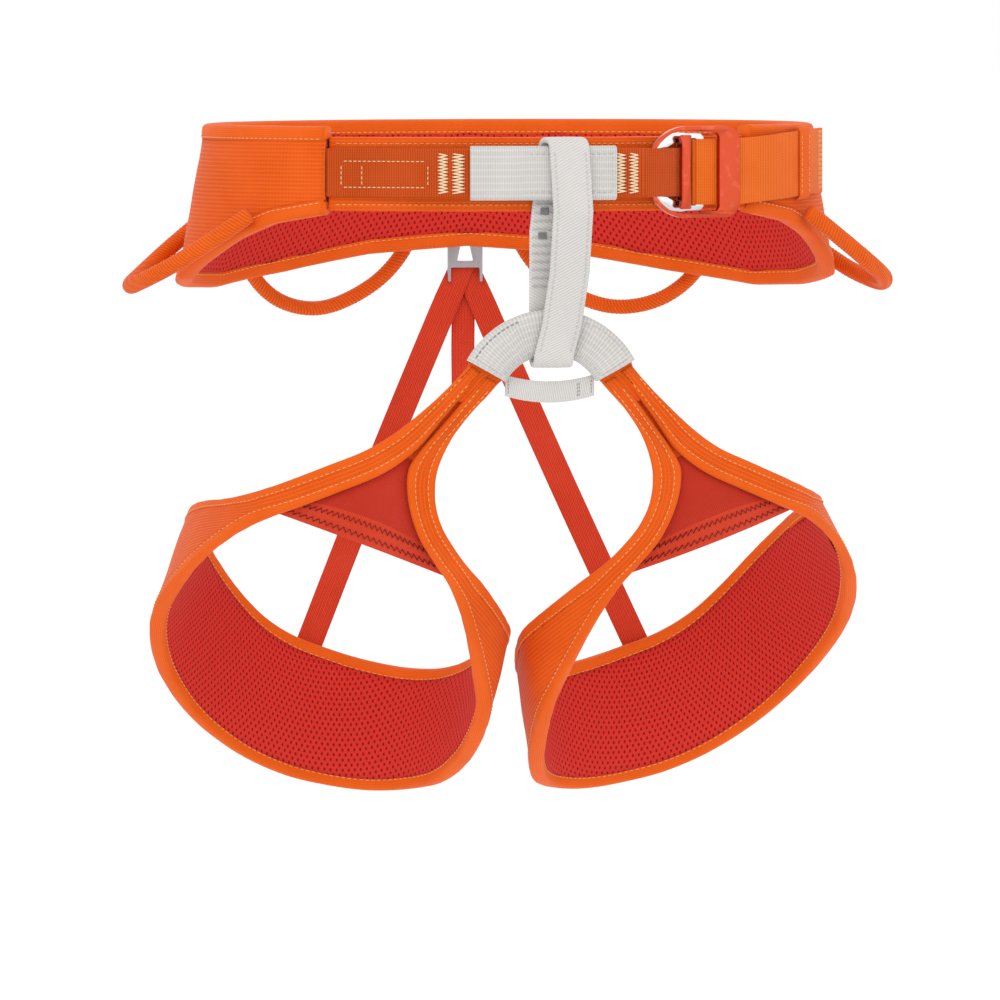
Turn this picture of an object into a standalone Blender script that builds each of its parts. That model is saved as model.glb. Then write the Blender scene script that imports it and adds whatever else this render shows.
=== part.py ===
"""A sport climbing sit harness, standing as if worn: padded waist belt, tie-in sleeves, belay loop,
double-frame buckle, gear loops, and two leg loops held up behind by elastic risers.

Frame: +X to the right of someone facing the harness, the front faces -Y, +Z up. The origin is the
centre of the waist opening, just below the level of the tie-in webbing. Metres."""

from math import acos, asin, atan2, ceil, cos, degrees, pi, radians, sin

import bmesh
import bpy
from mathutils import Matrix, Vector

# Waist belt
WAIST_HALF_WIDTH = 0.152
WAIST_HALF_DEPTH = 0.104
WING_ANGLE = 135.0
BELT_TOP = 0.028
BELT_FLARE = 0.014
BELT_BOTTOM = {0: -0.039, 20: -0.043, 40: -0.052, 60: -0.059, 75: -0.058, 90: -0.053,
               100: -0.043, 112: -0.031, 122: -0.023, 135: -0.018}
BINDING_WIDTH = 0.008
GAP = 0.0003

# Layers, from the lining outward
LINING = 0.001
FOAM = 0.004
LOAD_WEBBING = 0.0015
OUTER_FABRIC = 0.001
LOAD_WEBBING_WIDTH = 0.034
BELT_STEPS = 28
BELT_ROWS = 3

# Front closure
WEBBING_HEIGHT = 0.004
WEBBING_WIDTH = 0.025
WEBBING = 0.0015
STRAP_WIDTH = 0.034
STRAP = 0.0015
TONGUE_TOP, TONGUE_BOTTOM = 0.0225, -0.016
SLEEVE_LEFT, SLEEVE_RIGHT = -0.0395, 0.033
SLEEVE_DEPTH = 0.0042
SLEEVE_WALL = 0.0009
SLEEVE_ROOM = 0.0007

# Belay loop and lower tie-in
BELAY_WIDTH = 0.021
BELAY_THICKNESS = 0.003
BELAY_FRONT_LEAN = {0: 0.0008, 0.15: 0.005, 0.4: 0.009, 0.7: 0.011, 1: 0.009}
BELAY_REAR_LEAN = {0: 0.0, 0.6: 0.0003, 1: 0.0048}
BELAY_DROP = 0.1005
ARCH_HALF_SPAN = 0.034
ARCH_RISE = 0.020
ARCH_WIDTH = 0.0235
MOUTH_GAP = 0.0018
BRIDGE_WIDTH = 0.011

# Buckle
BUCKLE_ANGLE = 151.0
FRAME_HALF_HEIGHT = WEBBING_WIDTH / 2 + 0.0112
FRAME_RIM = 0.0033
LEFT_RIM = 0.0019
RING_OUTER, RING_INNER = 0.0205, 0.0155
FRAME_PLATE = 0.0024
REAR_PLATE = 0.0022

# Gear loops
FRONT_TUBE = 0.0043
REAR_TUBE = 0.0038

# Leg loops, sizes of the outer face
LEG_LOOP_SIDE = 0.187
LEG_LOOP_HALF_DEPTH = 0.095
LEG_LOOP_DROP = 0.230
ARM_THICKNESS = 0.0043
LEG_FOAM = 0.003
LEG_BINDING = 0.007

# Rear hook and risers
HOOK_WIDTH = 0.0185
HOOK_PLATE = 0.0025
RISER_WIDTH = 0.014
RISER = 0.0012

BELT_THICKNESS = LINING + FOAM + LOAD_WEBBING + OUTER_FABRIC + 3 * GAP
FOAM_BACK = LINING + GAP
WEBBING_BACK = FOAM_BACK + FOAM + GAP
FABRIC_BACK = WEBBING_BACK + LOAD_WEBBING + GAP
BINDING_FACE = BELT_THICKNESS + GAP
TONGUE_FACE = 0.0048
BELAY_BACK = TONGUE_FACE + 0.0006
SLEEVE_BACK = BELAY_BACK + BELAY_THICKNESS + 0.0014
SLEEVE_FACE = SLEEVE_BACK + SLEEVE_DEPTH
SLEEVE_HEIGHT = WEBBING_WIDTH + 2 * (SLEEVE_WALL + SLEEVE_ROOM)
BELAY_FRONT = SLEEVE_FACE + 0.0008
WEBBING_RUN = (SLEEVE_BACK + SLEEVE_FACE) / 2
LOOP_MIDDLE = -(WAIST_HALF_DEPTH + WEBBING_RUN)
BELAY_TOP = WEBBING_HEIGHT + SLEEVE_HEIGHT / 2 + BELAY_THICKNESS + 0.0015
ARCH_MIDDLE = WEBBING_HEIGHT - BELAY_DROP + BELAY_THICKNESS + 0.0035 + ARCH_WIDTH / 2
TIE_IN = Vector((ARCH_HALF_SPAN, LOOP_MIDDLE, ARCH_MIDDLE - ARCH_RISE))
ARCH_RADIUS = (ARCH_HALF_SPAN ** 2 + ARCH_RISE ** 2) / (2 * ARCH_RISE)
ARCH_END = degrees(asin(ARCH_HALF_SPAN / ARCH_RADIUS))

# The leg loop's outer face: matched points on its upper and its lower rim, in millimetres at the
# nominal sizes, from the tie-in down the outer arm, round the thigh and back up the inner arm.
LEG_RIMS = (
    ((45.5, -115, -95), (39.3, -115, -99.5)),
    ((54, -113, -105), (48.5, -114, -111)),
    ((66, -110, -118), (58.5, -110, -125)),
    ((80, -104, -131), (69.5, -103.5, -140.5)),
    ((95, -97, -141), (86, -99, -153)),
    ((113, -90, -149), (108, -91.5, -163)),
    ((132, -80, -157), (128, -84, -171)),
    ((147, -64, -163), (144, -75, -176.5)),
    ((157, -40, -167), (158, -62, -184)),
    ((163, -12, -169), (172, -43, -197)),
    ((165, 12, -172), (182, -20, -212)),
    ((163, 35, -178), (187, 6, -227)),
    ((157, 55, -188), (185, 30, -244)),
    ((147, 71, -201), (175, 55, -264)),
    ((133, 82, -217), (156, 76, -286)),
    ((116, 89, -233), (130, 89, -305)),
    ((98, 93, -244), (104, 95, -317)),
    ((79, 94, -251), (80, 96, -323)),
    ((59, 90, -257), (57, 89, -326)),
    ((38, 78, -261), (37, 75, -325)),
    ((21, 57, -261), (24, 52, -321)),
    ((10, 30, -256), (17, 26, -311)),
    ((4.5, 4, -247.5), (14, 2, -298)),
    ((2.5, -21, -238), (14, -20, -283)),
    ((7, -34, -231), (18, -33, -270)),
    ((15, -49, -222), (25, -48, -252)),
    ((25, -64, -212), (34, -63, -232)),
    ((35, -75.5, -203), (44, -76, -214)),
    ((44, -84, -193), (54, -84, -201.5)),
    ((52, -91, -181.5), (64, -91, -187.5)),
    ((57, -97, -168), (71, -97, -170)),
    ((57.5, -102, -152), (73, -101, -153)),
    ((52, -108, -135), (68.3, -104, -142)),
    ((43, -112.5, -121), (56.6, -110.5, -126.5)),
    ((35.5, -115, -111.5), (46.6, -114.5, -112.5)),
    ((30.5, -115, -105), (37.6, -115, -101)),
)
PAD_START, PAD_END = 8.5, 26.5
ARM_PULL = (1.0, 0.85, 0.65, 0.45, 0.25, 0.1)

# Gear loops: angle round the belt, distance out from its outer face, height
FRONT_LOOP = ((-118, 0.0088, -0.018), (-112, 0.0183, -0.030), (-104, 0.0298, -0.044),
              (-96, 0.0373, -0.053), (-88, 0.0383, -0.056), (-80, 0.0313, -0.050),
              (-74, 0.0213, -0.039), (-69, 0.0113, -0.028))
REAR_LOOP = ((9.5, 0.0088, -0.020), (11, 0.0108, -0.040), (17, 0.0128, -0.059),
             (27, 0.0138, -0.071), (37, 0.0143, -0.067), (45, 0.0138, -0.050), (48, 0.0118, -0.025))

COLOURS = {
    "fabric_orange": ((0.83, 0.16, 0.02, 1), 0.75, 0.0),
    "binding_orange": ((0.86, 0.20, 0.02, 1), 0.65, 0.0),
    "webbing_orange": ((0.78, 0.17, 0.02, 1), 0.6, 0.0),
    "mesh_red": ((0.60, 0.04, 0.03, 1), 0.85, 0.0),
    "foam_grey": ((0.25, 0.25, 0.26, 1), 0.9, 0.0),
    "stretch_red": ((0.62, 0.06, 0.03, 1), 0.75, 0.0),
    "elastic_red": ((0.66, 0.06, 0.03, 1), 0.7, 0.0),
    "webbing_white": ((0.80, 0.79, 0.76, 1), 0.7, 0.0),
    "anodised_rose": ((0.80, 0.24, 0.16, 1), 0.3, 0.9),
    "polished_steel": ((0.75, 0.75, 0.76, 1), 0.18, 1.0),
    "hook_grey": ((0.45, 0.47, 0.50, 1), 0.4, 0.8),
}


# ---------------------------------------------------------------- scene and materials

def clear_scene():
    for obj in list(bpy.data.objects):
        bpy.data.objects.remove(obj, do_unlink=True)


def material(name):
    made = bpy.data.materials.get(name)
    if made:
        return made
    colour, roughness, metallic = COLOURS[name]
    made = bpy.data.materials.new(name)
    made.use_nodes = True
    shader = made.node_tree.nodes["Principled BSDF"]
    shader.inputs["Base Color"].default_value = colour
    shader.inputs["Roughness"].default_value = roughness
    shader.inputs["Metallic"].default_value = metallic
    made.diffuse_color = colour
    return made


def add(name, data, colour, pivot=None):
    """Puts the data in the harness collection, with its origin on the pivot of its joint."""
    if pivot is not None:
        data.transform(Matrix.Translation(-Vector(pivot)))
    data.materials.append(material(colour))
    obj = bpy.data.objects.new(name, data)
    if pivot is not None:
        obj.location = pivot
    HARNESS.objects.link(obj)
    return obj


# ---------------------------------------------------------------- shapes

def surface(name, rows, wrap_rows=False, wrap_columns=False, mirrored=False):
    """An open surface through rows of points. Its front is on the side of row x column."""
    shape = bmesh.new()
    sign = -1 if mirrored else 1
    grid = [[shape.verts.new((sign * p[0], p[1], p[2])) for p in row] for row in rows]
    count, width = len(rows), len(rows[0])
    for i in range(count if wrap_rows else count - 1):
        for j in range(width if wrap_columns else width - 1):
            after, beside = (i + 1) % count, (j + 1) % width
            corners = [grid[i][j], grid[i][beside], grid[after][beside], grid[after][j]]
            shape.faces.new(corners if mirrored else corners[::-1])
    mesh = bpy.data.meshes.new(name)
    shape.to_mesh(mesh)
    shape.free()
    mesh.shade_smooth()
    return mesh


def sheet(name, rows, thickness, colour, pivot=None, **wrapping):
    """A surface made solid behind its front."""
    obj = add(name, surface(name, rows, **wrapping), colour, pivot)
    solid = obj.modifiers.new("Thickness", "SOLIDIFY")
    solid.thickness = thickness
    solid.offset = -1
    return obj


def loft(name, sections, colour, pivot=None, mirrored=False):
    """A bar through sections of four corners, with flat ends."""
    mesh = surface(name, sections, wrap_columns=True, mirrored=mirrored)
    shape = bmesh.new()
    shape.from_mesh(mesh)
    bmesh.ops.holes_fill(shape, edges=shape.edges)
    bmesh.ops.recalc_face_normals(shape, faces=shape.faces)
    shape.to_mesh(mesh)
    shape.free()
    return add(name, mesh, colour, pivot)


def smooth_path(points, steps):
    """A Catmull-Rom curve through the points, with a number of steps between each two."""
    points = [Vector(p) for p in points]
    ends = [2 * points[0] - points[1]] + points + [2 * points[-1] - points[-2]]
    path = []
    for i in range(len(points) - 1):
        a, b, c, d = ends[i:i + 4]
        for k in range(steps):
            t = k / steps
            path.append(0.5 * (2 * b + (c - a) * t + (2 * a - 5 * b + 4 * c - d) * t ** 2
                               + (3 * b - a - 3 * c + d) * t ** 3))
    return path + [points[-1]]


def tube(name, points, radius, colour, pivot):
    curve = bpy.data.curves.new(name, "CURVE")
    curve.dimensions = "3D"
    curve.bevel_depth = radius
    curve.bevel_resolution = 2
    curve.use_fill_caps = True
    spline = curve.splines.new("POLY")
    spline.points.add(len(points) - 1)
    for knot, point in zip(spline.points, points):
        knot.co = (*point, 1)
    return add(name, curve, colour, pivot)


def plate(name, outlines, thickness, colour, frame, bevel, pivot=None):
    """A flat outline with holes, half its thickness to each side of the frame's XY plane."""
    curve = bpy.data.curves.new(name, "CURVE")
    curve.dimensions = "2D"
    curve.fill_mode = "BOTH"
    curve.extrude = thickness / 2
    for outline in outlines:
        spline = curve.splines.new("POLY")
        spline.points.add(len(outline) - 1)
        spline.use_cyclic_u = True
        for knot, (x, y) in zip(spline.points, outline):
            knot.co = (x, y, 0, 1)
    obj = add(name, curve, colour)
    obj.matrix_world = frame
    if pivot is not None:
        curve.transform(Matrix.Translation(-(frame.inverted() @ Vector(pivot))))
        obj.location = pivot
    weld = obj.modifiers.new("Weld", "WELD")
    weld.merge_threshold = 0.00001
    edge = obj.modifiers.new("Bevel", "BEVEL")
    edge.width = bevel
    edge.segments = 1
    edge.limit_method = "ANGLE"
    edge.angle_limit = radians(50)
    return obj


def arc(centre, radius, start, end, steps):
    """Points on a flat arc, angles in degrees."""
    turns = [radians(start + (end - start) * k / steps) for k in range(steps + 1)]
    return [(centre[0] + radius * cos(a), centre[1] + radius * sin(a)) for a in turns]


def table(values, at):
    """Smooth interpolation in a table of numbers."""
    keys = sorted(values)
    at = min(max(at, keys[0]), keys[-1])
    for low, high in zip(keys, keys[1:]):
        if at <= high:
            t = (at - low) / (high - low)
            return values[low] + (values[high] - values[low]) * t
    return values[keys[-1]]


def ramp(at, start, end):
    t = min(max((at - start) / (end - start), 0.0), 1.0)
    return t * t * (3 - 2 * t)


def span(start, end, steps):
    return [start + (end - start) * k / steps for k in range(steps + 1)]


# ---------------------------------------------------------------- the waist

def waist_plan(angle, out):
    """0 is the centre of the back, +90 the +X side and 180 the centre of the front."""
    a = radians(angle)
    point = Vector((WAIST_HALF_WIDTH * sin(a), WAIST_HALF_DEPTH * cos(a)))
    normal = Vector((WAIST_HALF_DEPTH * sin(a), WAIST_HALF_WIDTH * cos(a))).normalized()
    return point + out * normal


def waist_angle(x):
    """The angle at the front at which the lining is this far from the centre plane."""
    return 180 - degrees(asin(x / WAIST_HALF_WIDTH))


def flare(angle, z):
    """How far the belt leans out as it goes down over the hips."""
    side = abs((angle + 180) % 360 - 180)
    share = 0.35 + 0.65 * sin(radians(side)) ** 2 if side <= 90 else max(0, (150 - side) / 60)
    return BELT_FLARE * share * (max(0.0, BELT_TOP - z) / 0.080) ** 1.3


def waist_point(angle, z, out):
    plan = waist_plan(angle, out + flare(angle, z))
    return Vector((plan.x, plan.y, z))


def belt_bottom(angle):
    return table(BELT_BOTTOM, abs(angle))


def belt_layer(name, back, thickness, colour, margin=BINDING_WIDTH + GAP + 0.17 * FOAM, half_height=None):
    rows = []
    for angle in span(-WING_ANGLE, WING_ANGLE, BELT_STEPS):
        top, bottom = BELT_TOP - margin, belt_bottom(angle) + margin
        if half_height:
            top = min(top, WEBBING_HEIGHT + half_height)
            bottom = max(bottom, WEBBING_HEIGHT - half_height)
        heights = span(top, bottom, BELT_ROWS)
        rows.append([waist_point(angle, z, back + thickness) for z in heights])
    sheet(name, rows, thickness, colour)


def belt_binding(name, edge, inward):
    """A folded tape over one edge of all the layers."""
    sections = []
    for angle in span(-WING_ANGLE, WING_ANGLE, BELT_STEPS):
        near, far = edge(angle), edge(angle) + inward * BINDING_WIDTH
        corners = ((near, -GAP), (far, -GAP), (far, BINDING_FACE), (near, BINDING_FACE))
        sections.append([waist_point(angle, *corner) for corner in corners])
    loft(name, sections, "binding_orange")


def make_belt():
    belt_layer("belt_mesh_lining", 0, LINING, "mesh_red")
    belt_layer("belt_foam_pad", FOAM_BACK, FOAM, "foam_grey")
    belt_layer("belt_load_webbing", WEBBING_BACK, LOAD_WEBBING, "webbing_orange",
               half_height=LOAD_WEBBING_WIDTH / 2)
    belt_layer("belt_outer_fabric", FABRIC_BACK, OUTER_FABRIC, "fabric_orange")
    belt_binding("belt_binding_top", lambda angle: BELT_TOP, -1)
    belt_binding("belt_binding_bottom", belt_bottom, 1)


def make_tongue():
    """The thin front of the belt, between its two padded wings."""
    edge = WING_ANGLE + 0.3
    for name, back, face, colour in (("tongue_lining", 0, LINING, "mesh_red"),
                                     ("front_tongue", FOAM_BACK, TONGUE_FACE, "fabric_orange")):
        rows = []
        for angle in span(edge, 360 - edge, 16):
            heights = span(TONGUE_TOP, TONGUE_BOTTOM, 2)
            rows.append([waist_point(angle, z, face) for z in heights])
        sheet(name, rows, face - back, colour)


# ---------------------------------------------------------------- webbing on the front

def upright_strip(name, path, height, width, thickness, colour, pivot=None):
    """Webbing that runs along a plan path, on edge, its path in the middle of its thickness."""
    rows = []
    for k, point in enumerate(path):
        before, after = path[max(k - 1, 0)], path[min(k + 1, len(path) - 1)]
        along = (after - before).normalized()
        face = point + Vector((-along.y, along.x)) * thickness / 2
        rows.append([Vector((face.x, face.y, z)) for z in (height + width / 2, height - width / 2)])
    return sheet(name, rows, thickness, colour, pivot)


def buckle_frame():
    """The buckle's own frame: X along the webbing, Y up, Z out of the belt."""
    origin = waist_plan(BUCKLE_ANGLE, 0)
    normal = (waist_plan(BUCKLE_ANGLE, 1) - origin).normalized()
    return origin, Vector((-normal.y, normal.x)), normal


def by_buckle(s, n):
    origin, along, normal = buckle_frame()
    return origin + s * along + n * normal


def half_turn(centre_s, centre_n, radius, start, end, steps=6):
    return [by_buckle(*p) for p in arc((centre_s, centre_n), radius, start, end, steps)]


REAR_BACK = TONGUE_FACE + 0.0022
REAR_FACE = REAR_BACK + REAR_PLATE
RUN_BEHIND = REAR_BACK - 0.0003 - WEBBING / 2
RUN_OVER = REAR_FACE + 0.0004 + WEBBING / 2
FRONT_BACK = RUN_OVER + WEBBING / 2 + 0.0004
FRONT_FACE = FRONT_BACK + FRAME_PLATE
TURN_MIDDLE = (RUN_BEHIND + RUN_OVER) / 2
TURN_RADIUS = (RUN_OVER - RUN_BEHIND) / 2
CENTRE_BAR = (-0.0082, -0.0046)
RIGHT_BAR = (0.0032, 0.0080)
FRAME_CENTRE = -0.0055
FRAME_RIGHT = 0.0275
WINDOW_RIGHT = 0.0150
FRAME_HINGE = -0.0055


def make_tie_in_webbing():
    start = -WING_ANGLE - 0.3
    path = []
    for angle in span(start, waist_angle(SLEEVE_RIGHT) - 360, 22):
        lift = ramp(angle, start - 4, waist_angle(SLEEVE_LEFT) - 360)
        out = WEBBING_BACK + WEBBING / 2 + lift * (WEBBING_RUN - WEBBING_BACK - WEBBING / 2)
        path.append(waist_plan(angle, out + flare(angle, WEBBING_HEIGHT - WEBBING_WIDTH / 2)))
    over_arc = FRONT_FACE + 0.0004 + WEBBING / 2
    left_arc = FRAME_CENTRE - FRAME_HALF_HEIGHT
    path += [by_buckle(left_arc - 0.007, 0.0118), by_buckle(left_arc - 0.0035, over_arc - 0.0002),
             by_buckle(left_arc, over_arc), by_buckle(left_arc + 0.0085, over_arc),
             by_buckle(-0.0128, 0.0128), by_buckle(-0.0104, RUN_OVER + 0.0006)]
    path += [by_buckle(CENTRE_BAR[0], RUN_OVER)]
    path += half_turn(CENTRE_BAR[1], TURN_MIDDLE, TURN_RADIUS, 90, -90)
    path += [by_buckle(CENTRE_BAR[0], RUN_BEHIND), by_buckle(-0.018, RUN_BEHIND - 0.0004),
             by_buckle(-0.028, RUN_BEHIND - 0.0007), by_buckle(-0.038, RUN_BEHIND - 0.0015)]
    upright_strip("tie_in_webbing", path, WEBBING_HEIGHT, WEBBING_WIDTH, WEBBING, "webbing_orange")


def make_adjust_strap():
    lean = flare(WING_ANGLE, WEBBING_HEIGHT - STRAP_WIDTH / 2)
    begin = waist_plan(WING_ANGLE + 0.3, WEBBING_BACK + STRAP / 2 + lean)
    path = [begin, by_buckle(0.030, 0.0054), by_buckle(0.020, RUN_BEHIND - 0.0002),
            by_buckle(0.010, RUN_BEHIND)]
    path += half_turn(RIGHT_BAR[0], TURN_MIDDLE, TURN_RADIUS, 270, 90)
    path += [by_buckle(0.008, RUN_OVER), by_buckle(WINDOW_RIGHT + 0.0002, RUN_OVER)]
    upright_strip("adjust_strap", path, WEBBING_HEIGHT, STRAP_WIDTH, STRAP, "webbing_orange")


TAIL_START = WINDOW_RIGHT + 0.0007
TAIL_END_ANGLE = 107.0
TAIL_RISE = 0.10


def tail_circle():
    """Centre, radius and end of the arc that the strap's free end lies along and slides along."""
    _, _, normal = buckle_frame()
    start = by_buckle(TAIL_START, RUN_OVER)
    clear = BINDING_FACE + flare(TAIL_END_ANGLE, -0.012) + STRAP / 2 + 0.0018
    end = waist_plan(TAIL_END_ANGLE, clear)
    chord = end - start
    radius = chord.length_squared / (-2 * chord.dot(normal))
    centre = start - radius * normal
    sweep = 2 * asin(chord.length / (2 * radius))
    return centre, radius, sweep


def tail_point(turn, out, across):
    """A point on the free end: turn along its arc, out from its middle surface, across its width."""
    centre, radius, _ = tail_circle()
    start = by_buckle(TAIL_START, RUN_OVER) - centre
    first = atan2(start.y, start.x)
    middle = Vector((centre.x, centre.y, WEBBING_HEIGHT))
    spoke = Vector((cos(first + turn), sin(first + turn), 0))
    rise = TAIL_RISE * radius * ramp(turn, 0, tail_circle()[2]) * tail_circle()[2] / 2
    return middle + spoke * (radius + out) + Vector((0, 0, across + rise))


def make_strap_tail():
    centre, _, sweep = tail_circle()
    rows = []
    for turn in span(0, sweep, 14):
        widths = (-STRAP_WIDTH / 2, STRAP_WIDTH / 2)
        rows.append([tail_point(turn, STRAP / 2, across) for across in widths])
    pivot = (centre.x, centre.y, WEBBING_HEIGHT)
    sheet("strap_tail", rows, STRAP, "webbing_orange", pivot)


def make_keeper():
    """A fabric band over the free end, its feet on the belt above and below."""
    _, _, sweep = tail_circle()
    half, room, band, wall = STRAP_WIDTH / 2, 0.0014, 0.010, 0.0012
    face = STRAP / 2 + 0.0006
    rows = []
    radius = tail_circle()[1]
    for turn in span(0.66 * sweep, 0.66 * sweep + band / radius, 3):
        foot_top = half + room
        corners = ((-0.0010, foot_top + wall), (face, foot_top + wall), (face + wall, half))
        below = [tail_point(turn, out, -across) for out, across in corners]
        above = [tail_point(turn, out, across) for out, across in corners]
        rows.append(below + above[::-1])
    sheet("strap_keeper", rows, wall, "fabric_orange")


def flattened_ring(half_height, half_depth):
    """A flat tube's section, as (across, out) points."""
    straight = half_height - half_depth
    ring = [(straight + half_depth * cos(radians(a)), half_depth * sin(radians(a)))
            for a in (90, 45, 0, -45, -90)]
    return ring + [(-x, -y) for x, y in ring]


def make_upper_sleeve():
    section = flattened_ring(SLEEVE_HEIGHT / 2, SLEEVE_DEPTH / 2)
    rows = []
    for angle in span(waist_angle(SLEEVE_LEFT), waist_angle(SLEEVE_RIGHT), 10):
        row = []
        for across, out in section:
            plan = waist_plan(angle, WEBBING_RUN + out)
            row.append(Vector((plan.x, plan.y, WEBBING_HEIGHT + across)))
        rows.append(row)
    sheet("tie_in_sleeve", rows, SLEEVE_WALL, "webbing_white", wrap_columns=True)


# ---------------------------------------------------------------- buckle frames

def d_outline(centre, radius, half_height, left_steps, right, corner):
    """A D lying on its back: a round left end, and a right end with rounded corners."""
    left = arc((centre, 0), radius, 90, 270, left_steps)
    low = arc((right - corner, corner - half_height), corner, 270, 360, 4)
    high = arc((right - corner, half_height - corner), corner, 0, 90, 4)
    return left + low + high


def make_buckle():
    origin, along, normal = buckle_frame()

    def at(out):
        middle = origin + out * normal
        axes = Matrix(((along.x, 0, normal.x), (along.y, 0, normal.y), (0, 1, 0))).to_4x4()
        return Matrix.Translation((middle.x, middle.y, WEBBING_HEIGHT)) @ axes

    hinge = by_buckle(FRAME_HINGE, (FRONT_BACK + FRONT_FACE) / 2)
    pivot = Vector((hinge.x, hinge.y, WEBBING_HEIGHT))
    inner = FRAME_HALF_HEIGHT - FRAME_RIM
    outer = d_outline(FRAME_CENTRE, FRAME_HALF_HEIGHT, FRAME_HALF_HEIGHT, 14, FRAME_RIGHT, 0.009)
    hole = d_outline(FRAME_CENTRE, FRAME_HALF_HEIGHT - LEFT_RIM, inner, 12, WINDOW_RIGHT, 0.003)
    middle = (FRONT_BACK + FRONT_FACE) / 2
    plate("buckle_front_frame", (outer, hole), FRAME_PLATE, "anodised_rose", at(middle),
          0.0007, pivot)
    bar_half = inner - 0.0012
    bar = ((-0.0088, bar_half - 0.0012), (-0.0080, bar_half - 0.005),
           (-0.0080, 0.005 - bar_half), (-0.0088, 0.0012 - bar_half), (-0.0080, -bar_half),
           (-0.0020, -bar_half), (-0.0025, 0), (-0.0020, bar_half), (-0.0080, bar_half))
    plate("buckle_centre_bar", (bar,), FRAME_PLATE, "anodised_rose", at(middle), 0.0005, pivot)

    tall = STRAP_WIDTH / 2 + 0.0005 + FRAME_RIM - 0.0008
    rear_outer = arc((FRAME_CENTRE, 0), RING_OUTER, 90, 270, 14)
    rear_outer += [(RIGHT_BAR[0] - 0.005, -tall), (RIGHT_BAR[1] - 0.002, -tall),
                   (RIGHT_BAR[1], 0.002 - tall), (RIGHT_BAR[1], tall - 0.002),
                   (RIGHT_BAR[1] - 0.002, tall), (RIGHT_BAR[0] - 0.005, tall)]
    reach = degrees(acos((FRAME_CENTRE - CENTRE_BAR[0]) / RING_INNER))
    left_hole = arc((FRAME_CENTRE, 0), RING_INNER, 180 - reach, 180 + reach, 10)
    window_half = STRAP_WIDTH / 2 + 0.0005
    turn_half = WEBBING_WIDTH / 2 + 0.001
    window = ((CENTRE_BAR[1], turn_half), (CENTRE_BAR[1], -turn_half),
              (CENTRE_BAR[1] + 0.003, -window_half),
              (RIGHT_BAR[0], -window_half), (RIGHT_BAR[0], window_half),
              (CENTRE_BAR[1] + 0.003, window_half))
    plate("buckle_rear_frame", (rear_outer, left_hole, window), REAR_PLATE, "polished_steel",
          at((REAR_BACK + REAR_FACE) / 2), 0.0006)


# ---------------------------------------------------------------- belay loop and lower tie-in

def belay_lean(up, front):
    """How far the loop leans to the right: up from its foot, front from its rear strand, as shares."""
    rear_lean, front_lean = table(BELAY_REAR_LEAN, up), table(BELAY_FRONT_LEAN, up)
    return rear_lean + (front_lean - rear_lean) * front


def make_belay_loop():
    mid_back = -(WAIST_HALF_DEPTH + BELAY_BACK + BELAY_THICKNESS / 2)
    mid_front = -(WAIST_HALF_DEPTH + BELAY_FRONT + BELAY_THICKNESS / 2)
    radius = (mid_back - mid_front) / 2
    centre = (mid_back + mid_front) / 2
    high = BELAY_TOP - BELAY_THICKNESS / 2 - radius
    low = WEBBING_HEIGHT - BELAY_DROP + BELAY_THICKNESS / 2 + radius
    path = arc((centre, high), radius, 0, 180, 6)
    path += [(mid_front, z) for z in span(high, low, 8)[1:-1]]
    path += arc((centre, low), radius, 180, 360, 6)
    path += [(mid_back, z) for z in span(low, high, 8)[1:-1]]
    rows = []
    for y, z in path:
        outward = Vector((0, y - centre, z - min(max(z, low), high))).normalized()
        up = min(max((z - low) / (high - low), 0), 1)
        lean = belay_lean(up, (centre + radius - y) / (2 * radius))
        face = Vector((lean, y, z)) + outward * BELAY_THICKNESS / 2
        rows.append([face + Vector((x, 0, 0)) for x in (-BELAY_WIDTH / 2, 0, BELAY_WIDTH / 2)])
    sheet("belay_loop", rows, BELAY_THICKNESS, "webbing_white", (0, centre, (high + low) / 2),
          wrap_rows=True)


def arch_point(turn, across, out):
    """On the lower tie-in: turn in degrees from its middle, across its width, out to the front."""
    a = radians(turn)
    hub = ARCH_MIDDLE - ARCH_RADIUS
    reach = ARCH_RADIUS + across
    return Vector((reach * sin(a), LOOP_MIDDLE - out, hub + reach * cos(a)))


def make_lower_tie_in():
    section = flattened_ring(ARCH_WIDTH / 2, SLEEVE_DEPTH / 2)
    rows = [[arch_point(turn, across, out) for across, out in section]
            for turn in span(-ARCH_END, ARCH_END, 12)]
    sheet("lower_sleeve", rows, SLEEVE_WALL, "webbing_white", wrap_columns=True)
    half = ARCH_WIDTH / 2 - SLEEVE_WALL - SLEEVE_ROOM
    rows = [[arch_point(turn, across, WEBBING / 2) for across in (-half, half)]
            for turn in span(-ARCH_END, ARCH_END, 12)]
    sheet("lower_tie_in_webbing", rows, WEBBING, "webbing_orange")


def make_leg_bridge():
    """The narrow strap that joins the two leg loops below the lower sleeve."""
    back = LOOP_MIDDLE + SLEEVE_DEPTH / 2 + 0.0006
    rows = []
    for share in span(1, -1, 10):
        x = share * (ARCH_HALF_SPAN - 0.0105)
        middle = TIE_IN.z - 0.0075 - 0.0035 * (1 - share ** 2)
        rows.append([Vector((x, back, middle + up)) for up in (BRIDGE_WIDTH / 2, -BRIDGE_WIDTH / 2)])
    sheet("leg_bridge_strap", rows, 0.0012, "webbing_white")


# ---------------------------------------------------------------- leg loops

def nominal_point(point):
    """A pattern point at this harness's sizes."""
    x, y, z = point
    scale = (LEG_LOOP_SIDE / 0.187, LEG_LOOP_HALF_DEPTH / 0.095, LEG_LOOP_DROP / 0.230)
    return Vector((x * scale[0], y * scale[1], TIE_IN.z * 1000 + (z + 100) * scale[2])) / 1000


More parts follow.
